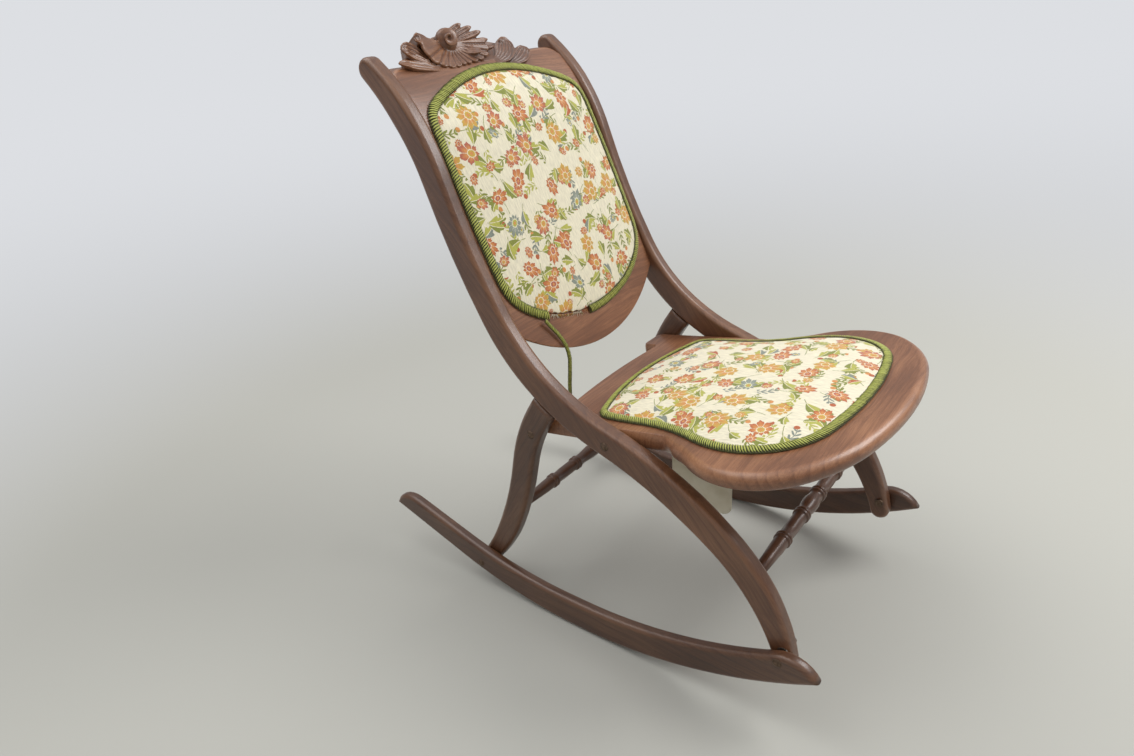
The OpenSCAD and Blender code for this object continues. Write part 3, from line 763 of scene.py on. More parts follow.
def tag_cotton():
    """Plain cotton tape, undyed and a little soiled: fine crossed threads."""
    material, add = new_material("Undyed cotton tag")
    at = add("TexCoord", out="Object")
    # Threads 0.5 mm apart, drawn at 1.2 mm
    cross = add("TexChecker", {"Vector": at, "Scale": 850.0}, out="Fac")
    soil = add("TexNoise", {"Vector": at, "Scale": 30.0, "Detail": 4.0})
    # Painted light: the cream is painted lighter than the cotton's own, because the tag hangs in
    # the seat's shade.
    covered(add, (cross, 0.3, 0.0001), {
        "Base Color": add("ValToRGB", soil, stops=[
            (0.3, linear("#f2ecd8")), (0.7, linear("#ded5ba"))]),
        "Roughness": 0.9, "Sheen Weight": 0.2})
    return material


# ---------- Camera, light and floor ----------

class ChairSetStage(bpy.types.Operator):
    """Set the camera, the lights and the plain floor"""
    bl_idname = "chair.set_stage"
    bl_label = "Camera, lights and floor"

    def execute(self, context):
        stage = context.scene.chair_stage
        azimuth, elevation, roll = (math.radians(a) for a in (-50.92, 26.15, -4.42))
        back = Vector((
            math.sin(azimuth) * math.cos(elevation),
            -math.cos(azimuth) * math.cos(elevation), math.sin(elevation)))
        right = (-back).cross(Vector((0, 0, 1))).normalized()
        up = right.cross(-back)
        across = right * math.cos(roll) + up * math.sin(roll)
        upward = up * math.cos(roll) - right * math.sin(roll)
        camera = bpy.data.objects.new("Camera", bpy.data.cameras.new("Camera"))
        context.scene.collection.objects.link(camera)
        turned = Matrix((across, upward, back)).transposed().to_4x4()
        camera.matrix_world = Matrix.Translation((-0.9701, -0.6175, 0.9276)) @ turned
        camera.data.sensor_width = 36.0
        camera.data.lens = 24.52
        camera.data.clip_start = 0.02
        context.scene.camera = camera

        far = 60000.0
        floor = mesh_object("floor", np.array(
            [(-far, -far, 0), (far, -far, 0), (far, far, 0), (-far, far, 0)]), [(0, 1, 2, 3)])
        # Grey paint round the chair, which fades into the pale backdrop from 1 to 10 m away
        material, add = new_material("Plain matt floor paint")
        path = add("LightPath", out=None)
        seen = add("Math MAXIMUM", path["Is Camera Ray"], path["Is Glossy Ray"])
        away = add("VectorMath LENGTH", add("TexCoord", out="Object"))
        away = add("MapRange", add("Math DIVIDE", 1.0, away), 0.9, 0.10,
                   interpolation_type="SMOOTHSTEP")
        paint = add("BsdfPrincipled", {"Base Color": stage.floor, "Roughness": 0.8})
        pale = add("Emission", {"Color": stage.backdrop, "Strength": 1.0})
        add("OutputMaterial", add("MixShader", add("Math MULTIPLY", seen, away), paint, pale))
        floor.data.materials.append(material)

        for name, place, aim, size, power in (
            ("Key", (1.5, -1.6, 2.5), (0, 0, 0.4), 1.6, stage.key),
            ("Top", (-0.6, 1.0, 2.8), (0, 0.1, 0.5), 2.0, stage.key * 0.42),
            ("Near", (-1.5, -0.1, 2.1), (-0.2, 0, 0.7), 0.9, stage.key * 0.03),
        ):
            light = bpy.data.lights.new(name, "AREA")
            light.shape = "SQUARE"
            light.size = size
            light.energy = power
            lamp = bpy.data.objects.new(name, light)
            context.scene.collection.objects.link(lamp)
            lamp.location = place
            lamp.rotation_euler = (Vector(aim) - Vector(place)).to_track_quat("-Z", "Y").to_euler()

        world = bpy.data.worlds.new("Even white surround")
        world.use_nodes = True
        world.node_tree.nodes.clear()
        add = partial(put, world.node_tree)
        path = add("LightPath", out=None)
        seen = add("Math MAXIMUM", path["Is Camera Ray"], path["Is Transmission Ray"])
        # More light from above than from the sides
        up = add("SeparateXYZ", add("TexCoord", out="Generated"), out="Z")
        strength = add("MapRange", up, -0.1, 1.0, 0.08 * stage.fill, 1.5 * stage.fill)
        lit = add("Background", {"Color": (0.97, 0.98, 1.0), "Strength": strength})
        shown = add("Background", {"Color": stage.backdrop, "Strength": 1.0})
        add("OutputWorld", add("MixShader", seen, lit, shown))
        context.scene.world = world
        context.scene.view_settings.view_transform = "Standard"
        return {"FINISHED"}


# ---------- Braid ----------

def stitches(path, width, step, place, seed, closed=True, tilt=0.0):
    """Slanted plaited ribs, a little bent and narrower at their ends, on a thin tape along a path
    drawn flat, as points, faces and crown values that paint light: a highlight on the ribs'
    crowns and shade on their sides, their ends and the tape. The braid rises to the left of its
    path by the tilt."""
    rng = np.random.default_rng(seed)
    across, round_it = 9, 8
    x = -np.cos(np.linspace(0, math.pi, across + 2))[1:-1]
    a = np.arange(round_it) * 2 * math.pi / round_it
    fat = np.repeat((1 - np.abs(x) ** 6) ** 0.5 * (1.05 - 0.5 * x ** 4), round_it)
    x = np.repeat(x, round_it)
    rib = np.column_stack([x, fat * np.tile(np.cos(a), across), fat * np.tile(np.sin(a), across)])
    rib = np.vstack([rib, [(-1, 0, 0), (1, 0, 0)]])
    quads = bands(round_it, across)
    for ring, pole in ((0, len(rib) - 2), ((across - 1) * round_it, len(rib) - 1)):
        quads += [(ring + i, ring + (i + 1) % round_it, pole) for i in range(round_it)]
    loop = np.vstack([path, path[:1]]) if closed else np.asarray(path, float)
    s = distances(loop)
    count = int(s[-1] / step)

    def station(at):
        here, ahead, behind = (
            np.array([np.interp(x, s, loop[:, i]) for i in (0, 1)])
            for x in (at, min(at + 1, s[-1]), max(at - 1, 0)))
        t = (ahead - behind) / np.linalg.norm(ahead - behind)
        return here, t, np.array([-t[1], t[0]])

    points, faces, crowns, made = [], [], [], 0

    def add(flat, height, aside, new_faces, crown):
        nonlocal made
        faces.extend([tuple(made + i for i in f) for f in new_faces])
        points.append(place(flat, height + tilt * (aside + width / 2)))
        crowns.append(crown)
        made += len(flat)

    for k in range(count):
        here, t, n = station((k + 0.5) * s[-1] / count)
        thick = step * 0.38 * rng.uniform(0.9, 1.1)
        half = width * 0.5 * rng.uniform(0.95, 1.05)
        aside = rib[:, 0] * half
        slant = 0.10 * np.sin(math.pi * rib[:, 0]) - 0.62 * rib[:, 0]
        along = rib[:, 1] * thick + half * slant + rng.uniform(-0.2, 0.2)
        flat = here + np.outer(aside, n) + np.outer(along, t)
        height = width * (0.12 + 0.16 * (1 - rib[:, 0] ** 2)) + rib[:, 2] * thick * 0.9
        # Painted light: the crown value is high on top of the rib and falls to painted shade on its
        # sides and towards its ends
        crown = -0.1 + np.maximum(rib[:, 2], 0) ** 2 - 0.25 * rib[:, 0] ** 4
        crown += rng.uniform(-0.12, 0.12)
        add(flat, height, aside, quads, crown)

    # The tape that carries the ribs, painted dark as the shade between them
    corners = [(-0.42, 0.02), (0.42, 0.02), (0.42, 0.10), (-0.42, 0.10)]
    rings = count if closed else count + 1
    tape = []
    for k in range(rings):
        here, t, n = station(k * s[-1] / count)
        tape.append((here, n))
    flat = np.vstack([[here + n * x * width for x, _ in corners] for here, n in tape])
    height = np.tile([z * width for _, z in corners], rings)
    aside = np.tile([x * width for x, _ in corners], rings)
    strip = [(k * 4 + i, k * 4 + (i + 1) % 4,
              (k + 1) % rings * 4 + (i + 1) % 4, (k + 1) % rings * 4 + i)
             for k in range(count) for i in range(4)]
    if not closed:
        strip += [(0, 1, 2, 3), tuple((rings - 1) * 4 + i for i in range(4))]
    add(flat, height, aside, strip, np.full(len(flat), 0.03))
    return np.vstack(points), faces, np.concatenate(crowns)


def loose_threads(roots, directions, width, seed):
    """Thin tapered threads, closed solids, that stick out of a frayed edge."""
    rng = np.random.default_rng(seed)
    points, faces = [], []
    for root, way in zip(roots, directions):
        way = way + rng.normal(0, 0.22, 3) * np.linalg.norm(way)
        side = np.cross(way, (0.3, 1.0, 0.2))
        side /= np.linalg.norm(side)
        rise = np.cross(way, side) / np.linalg.norm(way)
        bend = rng.normal(0, 0.6, 3)
        first = len(points)
        for k, share in enumerate((0.0, 0.35, 0.7, 1.0)):
            middle = root + way * share + bend * share ** 2
            for a in (0, 120, 240):
                turn = math.radians(a)
                fat = width * (1 - 0.6 * share)
                points.append(middle + fat * (side * math.cos(turn) + rise * math.sin(turn)))
        for k in range(3):
            for i in range(3):
                j = (i + 1) % 3
                faces.append((first + k * 3 + i, first + k * 3 + j,
                              first + k * 3 + 3 + j, first + k * 3 + 3 + i))
        faces += [(first, first + 1, first + 2), (first + 9, first + 10, first + 11)]
    return np.array(points), faces


# ---------- Operators for the pieces ----------

class ChairMakeFrame(bpy.types.Operator):
    """Make the side rails, rear legs and rockers with rounded arrises"""
    bl_idname = "chair.make_frame"
    bl_label = "Rails, legs and rockers"

    def execute(self, context):
        # Painted shade: the rails' copy of the walnut is darkened, and the legs' and rockers' copy
        # more so, for the lower frame that stands out of the light.
        finish = stained_walnut("Stained walnut, satin varnish, rails", 0.66)
        painted_shade_walnut = stained_walnut("Stained walnut, satin varnish, legs and rockers", 0.46)
        for side in ("right", "left"):
            for kind, angle, body in (
                ("rail", 49.0, "back_frame"), ("leg", 122.0, "legs"),
                ("rocker", 2.0, "rocker_" + side)
            ):
                piece = bar(f"{kind}_{side}_wood", f"{kind}_{side}", angle, body)
                piece.data.materials.append(finish if kind == "rail" else painted_shade_walnut)
        return {"FINISHED"}


class ChairTurnRungs(bpy.types.Operator):
    """Turn the front and the rear rung"""
    bl_idname = "chair.turn_rungs"
    bl_label = "Turned rungs"

    def execute(self, context):
        # Painted shade: the rungs' copy of the walnut is darkened.
        finish = stained_walnut("Stained walnut, satin varnish, turned", 0.60)
        for name, centre, r, beads, body in (
            ("front_rung", (-287.0, 210.0), 13.0, (32.0, 101.0), "back_frame"),
            ("rear_rung", (122.0, 179.0), 12.5, (54.0, 119.0), "legs"),
        ):
            bead = 6.4
            half = [(0, 0.98 * r), (beads[0] * 0.2, 0.96 * r), (beads[0] * 0.4, 0.88 * r),
                    (beads[0] * 0.6, 0.80 * r), (beads[0] - bead - 1, 0.79 * r)]
            for i, at in enumerate(beads):
                for side in (-0.5, 0.5):
                    for a in range(180, -1, -15):
                        half.append((
                            at + bead * (side + 0.47 * math.cos(math.radians(a))),
                            r * (0.85 + 0.15 * math.sin(math.radians(a)))))
                if i == 0:
                    half += [(at + bead + 1, 0.79 * r), (at + 20, 0.83 * r),
                             (beads[1] - 24, 0.81 * r), (beads[1] - bead - 1, 0.76 * r)]
                else:
                    half += [(at + bead + 1, 0.84 * r), (at + 22, 0.84 * r),
                             (at + 46, 0.74 * r), (189.0, 0.62 * r)]
            profile = [(-x, q) for x, q in reversed(half[1:])] + half
            piece = lathe(name + "_wood", profile, centre, body, name)
            piece.data.materials.append(finish)
        return {"FINISHED"}


def panel_outline():
    """Front view of the back panel: a round lower edge, straight sides, small shoulders."""
    low = [(300 * math.sin(math.radians(a)), 414 + 300 * (1 - math.cos(math.radians(a))))
           for a in np.linspace(0, 39, 27)]
    sides = [(189.0, z) for z in np.linspace(low[-1][1] + 4, 833, 24)]
    shoulder = [(189 - 22 * (1 - math.cos(math.radians(a))), 839 + 14 * math.sin(math.radians(a)))
                for a in range(0, 91, 9)]
    top = [(x, 853.0) for x in np.linspace(160, 0, 20)]
    return whole(low + sides + shoulder + top)


class ChairMakePanel(bpy.types.Operator):
    """Bend the back panel between the rails"""
    bl_idname = "chair.make_panel"
    bl_label = "Back panel"

    def execute(self, context):
        outline = panel_outline()
        rings, rub = rounded(outline, 15.0, 3.0, 4)
        edge = np.abs(outline[:, 0]) > 188.5
        fitted = []
        for q, d in rings:
            q = q.copy()
            q[edge] = outline[edge]
            fitted.append((q, d))

        def grain(q, d):
            return np.column_stack([q[:, 0] + 300, up_panel(q[:, 1]), d])

        piece = board("back_panel_wood", fitted, behind_panel, grain, cell=14.0, arris=rub)
        # Painted light: the back's copy of the walnut is lightened, for a face turned to the lamps.
        piece.data.materials.append(stained_walnut("Stained walnut, satin varnish, back", 1.08))
        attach(piece, "back_frame")
        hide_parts("back_panel")
        return {"FINISHED"}


SEAT_BENDS = [(126, 14), (112, 30), (96, 52), (70, 34), (60, -25), (42, -15)]


def seat_outline():
    """The seat board drawn flat: round front, waist between the rails, two rear ears."""
    curve = trace((0, -358), 0, SEAT_BENDS)
    wide = curve[curve[:, 1] < -108]
    # A soft S from the round front to the waist
    way = (wide[-1] - wide[-2]) / np.linalg.norm(wide[-1] - wide[-2])
    hold = [wide[-1], wide[-1] + 16 * way, np.array([187.0, -92.0]), np.array([187.0, -70.0])]
    half = [tuple(p) for p in wide]
    for f in np.linspace(0, 1, 11)[1:]:
        shares = ((1 - f) ** 3, 3 * f * (1 - f) ** 2, 3 * f * f * (1 - f), f ** 3)
        half.append(tuple(sum(a * q for a, q in zip(shares, hold))))
    half += [(187.0, y) for y in np.arange(-51, 137, 24)]
    half += [(175 + 12 * math.cos(math.radians(a)), 140 + 12 * math.sin(math.radians(a)))
             for a in range(0, 91, 10)]
    half += [(139 + 8 * math.cos(math.radians(a)), 144 + 8 * math.sin(math.radians(a)))
             for a in range(90, 181, 15)]
    half += [(131.0, 128.0), (126.0, 123.0)]
    return whole(closed_over(np.array(half), 131.0, 10))


class ChairMakeSeat(bpy.types.Operator):
    """Shape the seat board: bullnose front, relief underneath"""
    bl_idname = "chair.make_seat"
    bl_label = "Seat board"

    def execute(self, context):
        outline = seat_outline()
        edge = np.interp(outline[:, 1], [-358, -130, -60, 152], [13, 12, 3, 3])
        rings, rub = [], []
        for a in np.radians(np.arange(90, -91, -11.25)):
            rings.append((inset(outline, edge * (1 - math.cos(a))), 13.0 * (math.sin(a) - 1)))
            rub.append(max(0.0, math.sin(2 * a)))
        small = np.array([0, -112]) + (outline - [0, -112]) * 0.68
        rings += [(small, -26.0), (small, -12.0)]
        rub += [0.0, 0.0]

        def grain(q, d):
            return np.column_stack([q[:, 0], q[:, 1] + 150, d])

        piece = board("seat_board_wood", rings, on_seat, grain, arris=rub)
        # Painted light: the seat's copy of the walnut is lightened, for a top that faces the lamps.
        piece.data.materials.append(stained_walnut("Stained walnut, satin varnish, seat", 1.12))
        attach(piece, "seat")
        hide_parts("seat_board")
        return {"FINISHED"}


PAD_BENDS = [(122, 12), (76, 40), (85, 45), (55, 20), (45, -12), (50, -15), (70, 8), (18, 56)]
BACK_PAD_BENDS = [(112, 20), (74, 25), (40, 43), (232, 5), (24, 62)]
PAD_BORDER = 10.5
# Stretch of the back pad's lower edge where the braid has come away
BARE_FROM, BARE_TO = -112.0, -21.0


def softened(outline, times):
    """The outline with its corners eased: each point drawn towards its neighbours."""
    for _ in range(times):
        outline = (np.roll(outline, 1, axis=0) + 2 * outline + np.roll(outline, -1, axis=0)) / 4
    return outline


def seat_pad_outline():
    return softened(even(whole(closed_over(trace((0, -308), 0, PAD_BENDS), 80.0)), 6.0), 6)


def back_pad_outline():
    return softened(even(whole(closed_over(trace((0, 457), 0, BACK_PAD_BENDS), 842.0)), 6.0), 14)


def pad_form(name, outline, middle, height, place):
    """Closed pad: flat below, crowned above, its edge under the braid."""
    base = inset(outline, PAD_BORDER)
    shares = [1, 0.985, 0.96, 0.93, 0.88, 0.8, 0.7, 0.58, 0.45, 0.32, 0.2, 0.1, 0.02]
    edge = 4.2
    n = len(base)
    rings = [(middle + (base - middle) * q, 0.4) for q in reversed(shares)]
    rings += [(middle + (base - middle) * q, edge + (height - edge) * (1 - q ** 2.6) ** 0.72)
              for q in shares]
    points = np.vstack([place(q, np.full(n, d)) for q, d in rings])
    faces = [tuple(range(n)), tuple(range((len(rings) - 1) * n, len(rings) * n))]
    for j in range(len(rings) - 1):
        for i in range(n):
            k = (i + 1) % n
            faces.append((j * n + i, j * n + k, (j + 1) * n + k, (j + 1) * n + i))
    return mesh_object(name, points, faces)


def fixed(piece):
    """Make the modifiers' result the piece's own mesh."""
    made = bpy.data.meshes.new_from_object(
        piece.evaluated_get(bpy.context.evaluated_depsgraph_get()))
    piece.modifiers.clear()
    piece.data = made
    return np.array([v.co for v in made.vertices])


def swell(piece, held, most):
    """Blow the pad up as cloth that is held where held says, by no more than most."""
    before = np.array([v.co for v in piece.data.vertices])
    group = piece.vertex_groups.new(name="Held")
    group.add(np.where(held)[0].tolist(), 1.0, "REPLACE")
    cloth = piece.modifiers.new("Swell", "CLOTH")
    cloth.settings.quality = 5
    cloth.settings.use_pressure = True
    cloth.settings.uniform_pressure_force = 4.0
    cloth.settings.effector_weights.gravity = 0.0
    cloth.settings.vertex_group_mass = "Held"
    cloth.point_cache.frame_start = 1
    cloth.point_cache.frame_end = 20
    for frame_number in range(1, 21):
        bpy.context.scene.frame_set(frame_number)
    move = fixed(piece) - before
    bpy.context.scene.frame_set(1)
    size = np.linalg.norm(move, axis=1)[:, None]
    after = before + move * np.minimum(1, most / np.maximum(size, 1e-9))
    piece.data.vertices.foreach_set("co", after.astype(np.float32).ravel())
    piece.data.update()
    return after


class ChairFillPads(bpy.types.Operator):
    """Pad and cover the seat and the back in tapestry"""
    bl_idname = "chair.fill_pads"
    bl_label = "Seat and back pads"

    def execute(self, context):
        tapestry = floral_tapestry()
        for name, outline, middle, height, place, body, node in (
            ("seat_pad_cloth", seat_pad_outline(), np.array([0, -112]), 17.0, on_seat,
             "seat", "seat_pad"),
            ("back_pad_cloth", back_pad_outline(), np.array([0, 650]), 14.0, on_panel,
             "back_frame", "back_pad"),
        ):
            piece = pad_form(name, outline, middle, height, place)
            remesh = piece.modifiers.new("Even cloth", "REMESH")
            remesh.mode = "VOXEL"
            remesh.voxel_size = 0.004
            points = fixed(piece) / MM
            if body == "seat":
                above = flat_on_seat(points)[:, 2]
            else:
                foot = on_panel(points[:, [0, 2]], 0)
                above = (foot[:, 1] - points[:, 1]) * np.sin(panel_heading(points[:, 2]))
            swell(piece, above < 4.6, 0.005)
            piece.data.shade_smooth()
            points = np.array([v.co for v in piece.data.vertices]) / MM
            if body == "seat":
                drawn = flat_on_seat(points)
            else:
                drawn = np.column_stack([
                    points[:, 0] + 700, up_panel(points[:, 2]), points[:, 2] * 0])
            drawn[:, 2] = 0
            piece.data.attributes.new("print", "FLOAT_VECTOR", "POINT").data.foreach_set(
                "vector", drawn.astype(np.float32).ravel())
            piece.modifiers.new("Smooth cloth", "SUBSURF")
            piece.data.materials.append(tapestry)
            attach(piece, body)
            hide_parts(node)
        self.fray(tapestry)
        return {"FINISHED"}

    def fray(self, tapestry):
        """Threads along the raw edge of the cloth where the braid has come away."""
        rng = np.random.default_rng(11)
        edge = inset(back_pad_outline(), PAD_BORDER - 1.0)
        edge = edge[(edge[:, 1] < 520) & (edge[:, 0] > BARE_FROM) & (edge[:, 0] < BARE_TO)]
        s = distances(edge)
        at = np.arange(0, s[-1], 0.9)
        root = np.column_stack([np.interp(at, s, edge[:, i]) for i in (0, 1)])
        reach = rng.uniform(2.0, 6.5, len(at))
        tip = root + np.column_stack([rng.normal(0, 0.8, len(at)), -reach])
        roots = on_panel(root, rng.uniform(1.0, 3.0, len(at)))
        tips = on_panel(tip, rng.uniform(0.5, 1.2, len(at)))
        points, faces = loose_threads(roots, tips - roots, 0.42, 12)
        drawn = np.column_stack([points[:, 0] + 700, up_panel(points[:, 2]), points[:, 2] * 0])
        piece = mesh_object("frayed_cloth_edge", points, faces, print=drawn)
        piece.data.materials.append(tapestry)
        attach(piece, "back_frame")


class ChairSewBraid(bpy.types.Operator):
    """Lay the braid round both pads"""
    bl_idname = "chair.sew_braid"
    bl_label = "Braid round the pads"

    def execute(self, context):
        braid = context.scene.chair_braid
        width, step = braid.width / MM, braid.stitch / MM
        finish = olive_braid()
        for name, outline, place, body, node, seed in (
            ("seat_braid", seat_pad_outline(), on_seat, "seat", "seat_gimp", 3),
            ("back_braid", back_pad_outline(), on_panel, "back_frame", "back_gimp", 5),
        ):
            middle = inset(outline, width / 2)
            if node == "back_gimp":
                gap = (middle[:, 1] < 520) & (middle[:, 0] > BARE_FROM) & (middle[:, 0] < BARE_TO)
                first = np.where(gap & ~np.roll(gap, -1))[0][0] + 1
                middle = np.roll(middle, -first, axis=0)
                middle = middle[~np.roll(gap, -first)]
            points, faces, crown = stitches(
                middle, width, step, place, seed, node != "back_gimp", tilt=0.26)
            piece = mesh_object(name, points, faces, crown=crown)
            piece.data.materials.append(finish)
            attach(piece, body)
            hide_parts(node)
        return {"FINISHED"}


# Route of the loose end of the back's braid, and its width
LOOSE_ROUTE = [
    (-129, 99, 486), (-124, 97, 478), (-118, 94, 469), (-112, 90, 459), (-107, 86, 448),
    (-103, 83, 437), (-101, 81, 425), (-100, 80, 413), (-100, 81, 401), (-100, 82, 389),
    (-99, 84, 377), (-98, 86, 366), (-96, 88, 355), (-94, 90, 345), (-91, 92, 335)]
LOOSE_WIDTH = 8.0


class ChairHangLooseBraid(bpy.types.Operator):
    """Hang the loose end of the back's braid"""
    bl_idname = "chair.hang_loose_braid"
    bl_label = "Loose end of the braid"

    def execute(self, context):
        route = np.array(LOOSE_ROUTE, float)
        s = distances(route)
        tangents = np.gradient(route, s, axis=0)

        def place(flat, height):
            at = np.clip(flat[:, 0], 0, s[-1])
            middle = np.column_stack([np.interp(at, s, route[:, i]) for i in range(3)])
            t = np.column_stack([np.interp(at, s, tangents[:, i]) for i in range(3)])
            t /= np.linalg.norm(t, axis=1)[:, None]
            side = np.array([1.0, 0, 0]) - t * t[:, :1]
            side /= np.linalg.norm(side, axis=1)[:, None]
            front = np.cross(t, side)
            # The end twists as it falls
            turn = np.interp(at, [0, 40, s[-1]], np.radians([5, 20, 75]))[:, None]
            broad = side * np.cos(turn) + front * np.sin(turn)
            thin = front * np.cos(turn) - side * np.sin(turn)
            lift = (height - LOOSE_WIDTH * 0.16)[:, None]
            return middle + broad * flat[:, 1:2] + thin * lift

        points, faces, crown = stitches(
            [(0, 0), (s[-1], 0)], LOOSE_WIDTH * 0.9, 2.4, place, 8, closed=False)
        piece = mesh_object("loose_braid_end", points, faces, crown=crown)
        piece.data.materials.append(olive_braid())
        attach(piece, "back_frame")
        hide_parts("loose_gimp_end")
        [x * MM for x in LOOSE_ROUTE[0]]
        [[x * MM for x in p] for p in LOOSE_ROUTE]
        return {"FINISHED"}


class ChairHangTag(bpy.types.Operator):
    """Hang the blank cloth tag under the seat"""
    bl_idname = "chair.hang_tag"
    bl_label = "Cloth tag"

    def execute(self, context):
        low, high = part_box("cloth_tag")
        x = (low[0] + high[0]) / 2 / MM
        front, back, foot = low[1] / MM, high[1] / MM, low[2] / MM
        top = [on_seat(np.array([[0, y]]), np.array([-26.3]))[0, 1:] for y in (-200.0, 0.0)]
        slope = (top[1][1] - top[0][1]) / (top[1][0] - top[0][0])
        roofs = [top[0][1] + slope * (y - top[0][0]) for y in (front, back)]
        corner = 16.0
        arc = [math.radians(a) for a in range(0, 91, 10)]
        outline = [(front + corner * (1 - math.sin(a)), foot + corner * (1 - math.cos(a)))
                   for a in reversed(arc)]
        outline += [(back - corner * (1 - math.sin(a)), foot + corner * (1 - math.cos(a)))
                    for a in arc]
        outline += [(back, roofs[1]), (front, roofs[0])]
        flat, triangles, _ = filled(even(np.array(outline), 4.0), 5.0)
        drop = np.clip((roofs[1] - flat[:, 1]) / (roofs[1] - foot), 0, 1)
        wave = 0.9 * np.sin(flat[:, 0] * 0.11 + 1.2) + 0.5 * np.sin(flat[:, 1] * 0.06)
        points = np.column_stack([x + wave * drop, flat])
        piece = mesh_object("cloth_tag_sheet", points, triangles)
        thick = piece.modifiers.new("Cloth thickness", "SOLIDIFY")
        thick.thickness = 0.0006
        thick.offset = 0.0
        piece.data.materials.append(tag_cotton())
        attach(piece, "seat")
        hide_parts("cloth_tag")
        return {"FINISHED"}


# ---------- Carved crest, drawn flat: u across, v up the slope, w to the front ----------

CREST_AT = (306.0, 840.0)
CREST_LEAN = math.radians(62)
CREST_T = 14.0
CREST_GROUND = [(-128, 2), (-134, 14), (-116, 34), (-70, 52), (-28, 54), (14, 42), (62, 30),
                (104, 14),
                (108, 4), (60, -2), (-60, -2)]
# Petals as root, bend, tip, half width, rise, ribs, cut, cup and curl
CREST_PETALS = [
    ((-72, 38), (-98, 46), (-120, 46), 11.0, 12, 3, 2.6, 4.5, 3.0),
    ((-98, 1), (-116, 30), (-150, 35), 15.0, 10, 5, 3.0, 2.5, 2.5),
    ((-94, -4), (-130, 5), (-168, 14), 9.5, 7, 3, 2.6, 2.0, 1.5),
    ((-40, 48), (-26, 60), (-6, 64), 5.5, 9, 2, 2.4, -2.5, 1.5),
    ((-36, 44), (-14, 54), (12, 57), 5.8, 11, 2, 2.4, -2.5, 1.5),
    ((-32, 40), (-4, 44), (26, 47), 5.8, 13, 2, 2.4, -2.5, 1.5),
    ((-30, 34), (2, 34), (36, 34), 5.8, 11, 2, 2.4, -2.5, 1.5),
    ((-30, 28), (4, 23), (38, 19), 5.8, 13, 2, 2.4, -2.5, 1.5),
    ((26, -4), (64, 2), (70, 34), 17.0, 13, 6, 2.8, 1.5, 2.0),
    ((56, -11), (92, -8), (106, 13), 13.5, 9, 5, 2.6, 1.5, 1.5),
    ((-26, 24), (-16, 21), (-2, 12), 9.0, 14, 4, 2.2, 1.0, 1.5),
]
BUD_AT = np.array([-51.0, 42.0, 12.0])
BUD_R = 16.5
BUD_AXIS = np.array([-0.37, -0.26, 0.89])


def on_crest(q):
    c, s = math.cos(CREST_LEAN), math.sin(CREST_LEAN)
    return np.column_stack([
        q[:, 0], CREST_AT[0] + q[:, 1] * c - q[:, 2] * s, CREST_AT[1] + q[:, 1] * s + q[:, 2] * c])


def crest_face(v):
    """Height of the ground of the carving, which runs on from the panel's bent face."""
    return np.where(v < 8, 12.6 + 0.37 * (8 - v), np.maximum(4.0, 12.6 - 0.5 * (v - 8)))


def between(u, v, top, bottom):
    """Closed solid between two heights over a grid of places."""
    rows, columns = u.shape
    n = rows * columns
    points = np.vstack([np.column_stack([u.ravel(), v.ravel(), w.ravel()]) for w in (top, bottom)])
    faces = []
    for i in range(rows - 1):
        for j in range(columns - 1):
            a = i * columns + j
            quad = (a, a + 1, a + columns + 1, a + columns)
            faces += [quad, tuple(n + k for k in reversed(quad))]
    rim = list(range(columns)) + [i * columns + columns - 1 for i in range(1, rows)]
    rim += [(rows - 1) * columns + j for j in range(columns - 2, -1, -1)]
    rim += [i * columns for i in range(rows - 2, 0, -1)]
    for a, b in zip(rim, rim[1:] + rim[:1]):
        faces.append((b, a, n + a, n + b))
    return points, faces


def under_lip(top, v, out):
    """Underside of a petal: deep in its middle, a thin lip near its rim."""
    lip = np.clip((out - 0.72) / 0.2, 0, 1)
    lip = lip * lip * (3 - 2 * lip)
    return (crest_face(v) - CREST_T) * (1 - lip) + (top - 2.6) * lip


def carved_petal(root, bend, tip, half, rise, ribs, cut, cup, curl):
    s, t = np.meshgrid(np.linspace(0, 1, 60), np.linspace(-1, 1, 57), indexing="ij")
    root, bend, tip = (np.array(q, float)[:, None, None] for q in (root, bend, tip))
    middle = (1 - s) ** 2 * root + 2 * s * (1 - s) * bend + s ** 2 * tip
    ahead = 2 * (1 - s) * (bend - root) + 2 * s * (tip - bend)
    ahead /= np.linalg.norm(ahead, axis=0)
    wide = 0.34 + 0.66 * np.sin(np.pi / 2 * np.clip(s / 0.62, 0, 1))
    round_tip = np.sqrt(np.clip(1 - np.clip((s - 0.62) / 0.38, 0, 1) ** 2, 1e-4, 1))
    across = half * wide * round_tip * t
    u, v = middle[0] - ahead[1] * across, middle[1] + ahead[0] * across
    groove = 1 - np.abs(np.sin(np.pi * ribs * (t + 1) / 2)) ** 0.6
    fade = np.clip(s / 0.25, 0, 1) * np.clip((1.05 - s) / 0.3, 0.2, 1)
    height = rise * (1 - (1 - s) ** 1.7) + cup * t ** 2 * s - cut * groove * fade
    height += curl * np.exp(-((s - 0.86) / 0.10) ** 2)
    height -= 2.5 * np.clip((np.abs(t) - 0.88) / 0.12, 0, 1) ** 2
    top = crest_face(v) + height
    return between(u, v, top, under_lip(top, v, np.maximum(np.abs(t) * (s > 0.3), s * 0.98)))


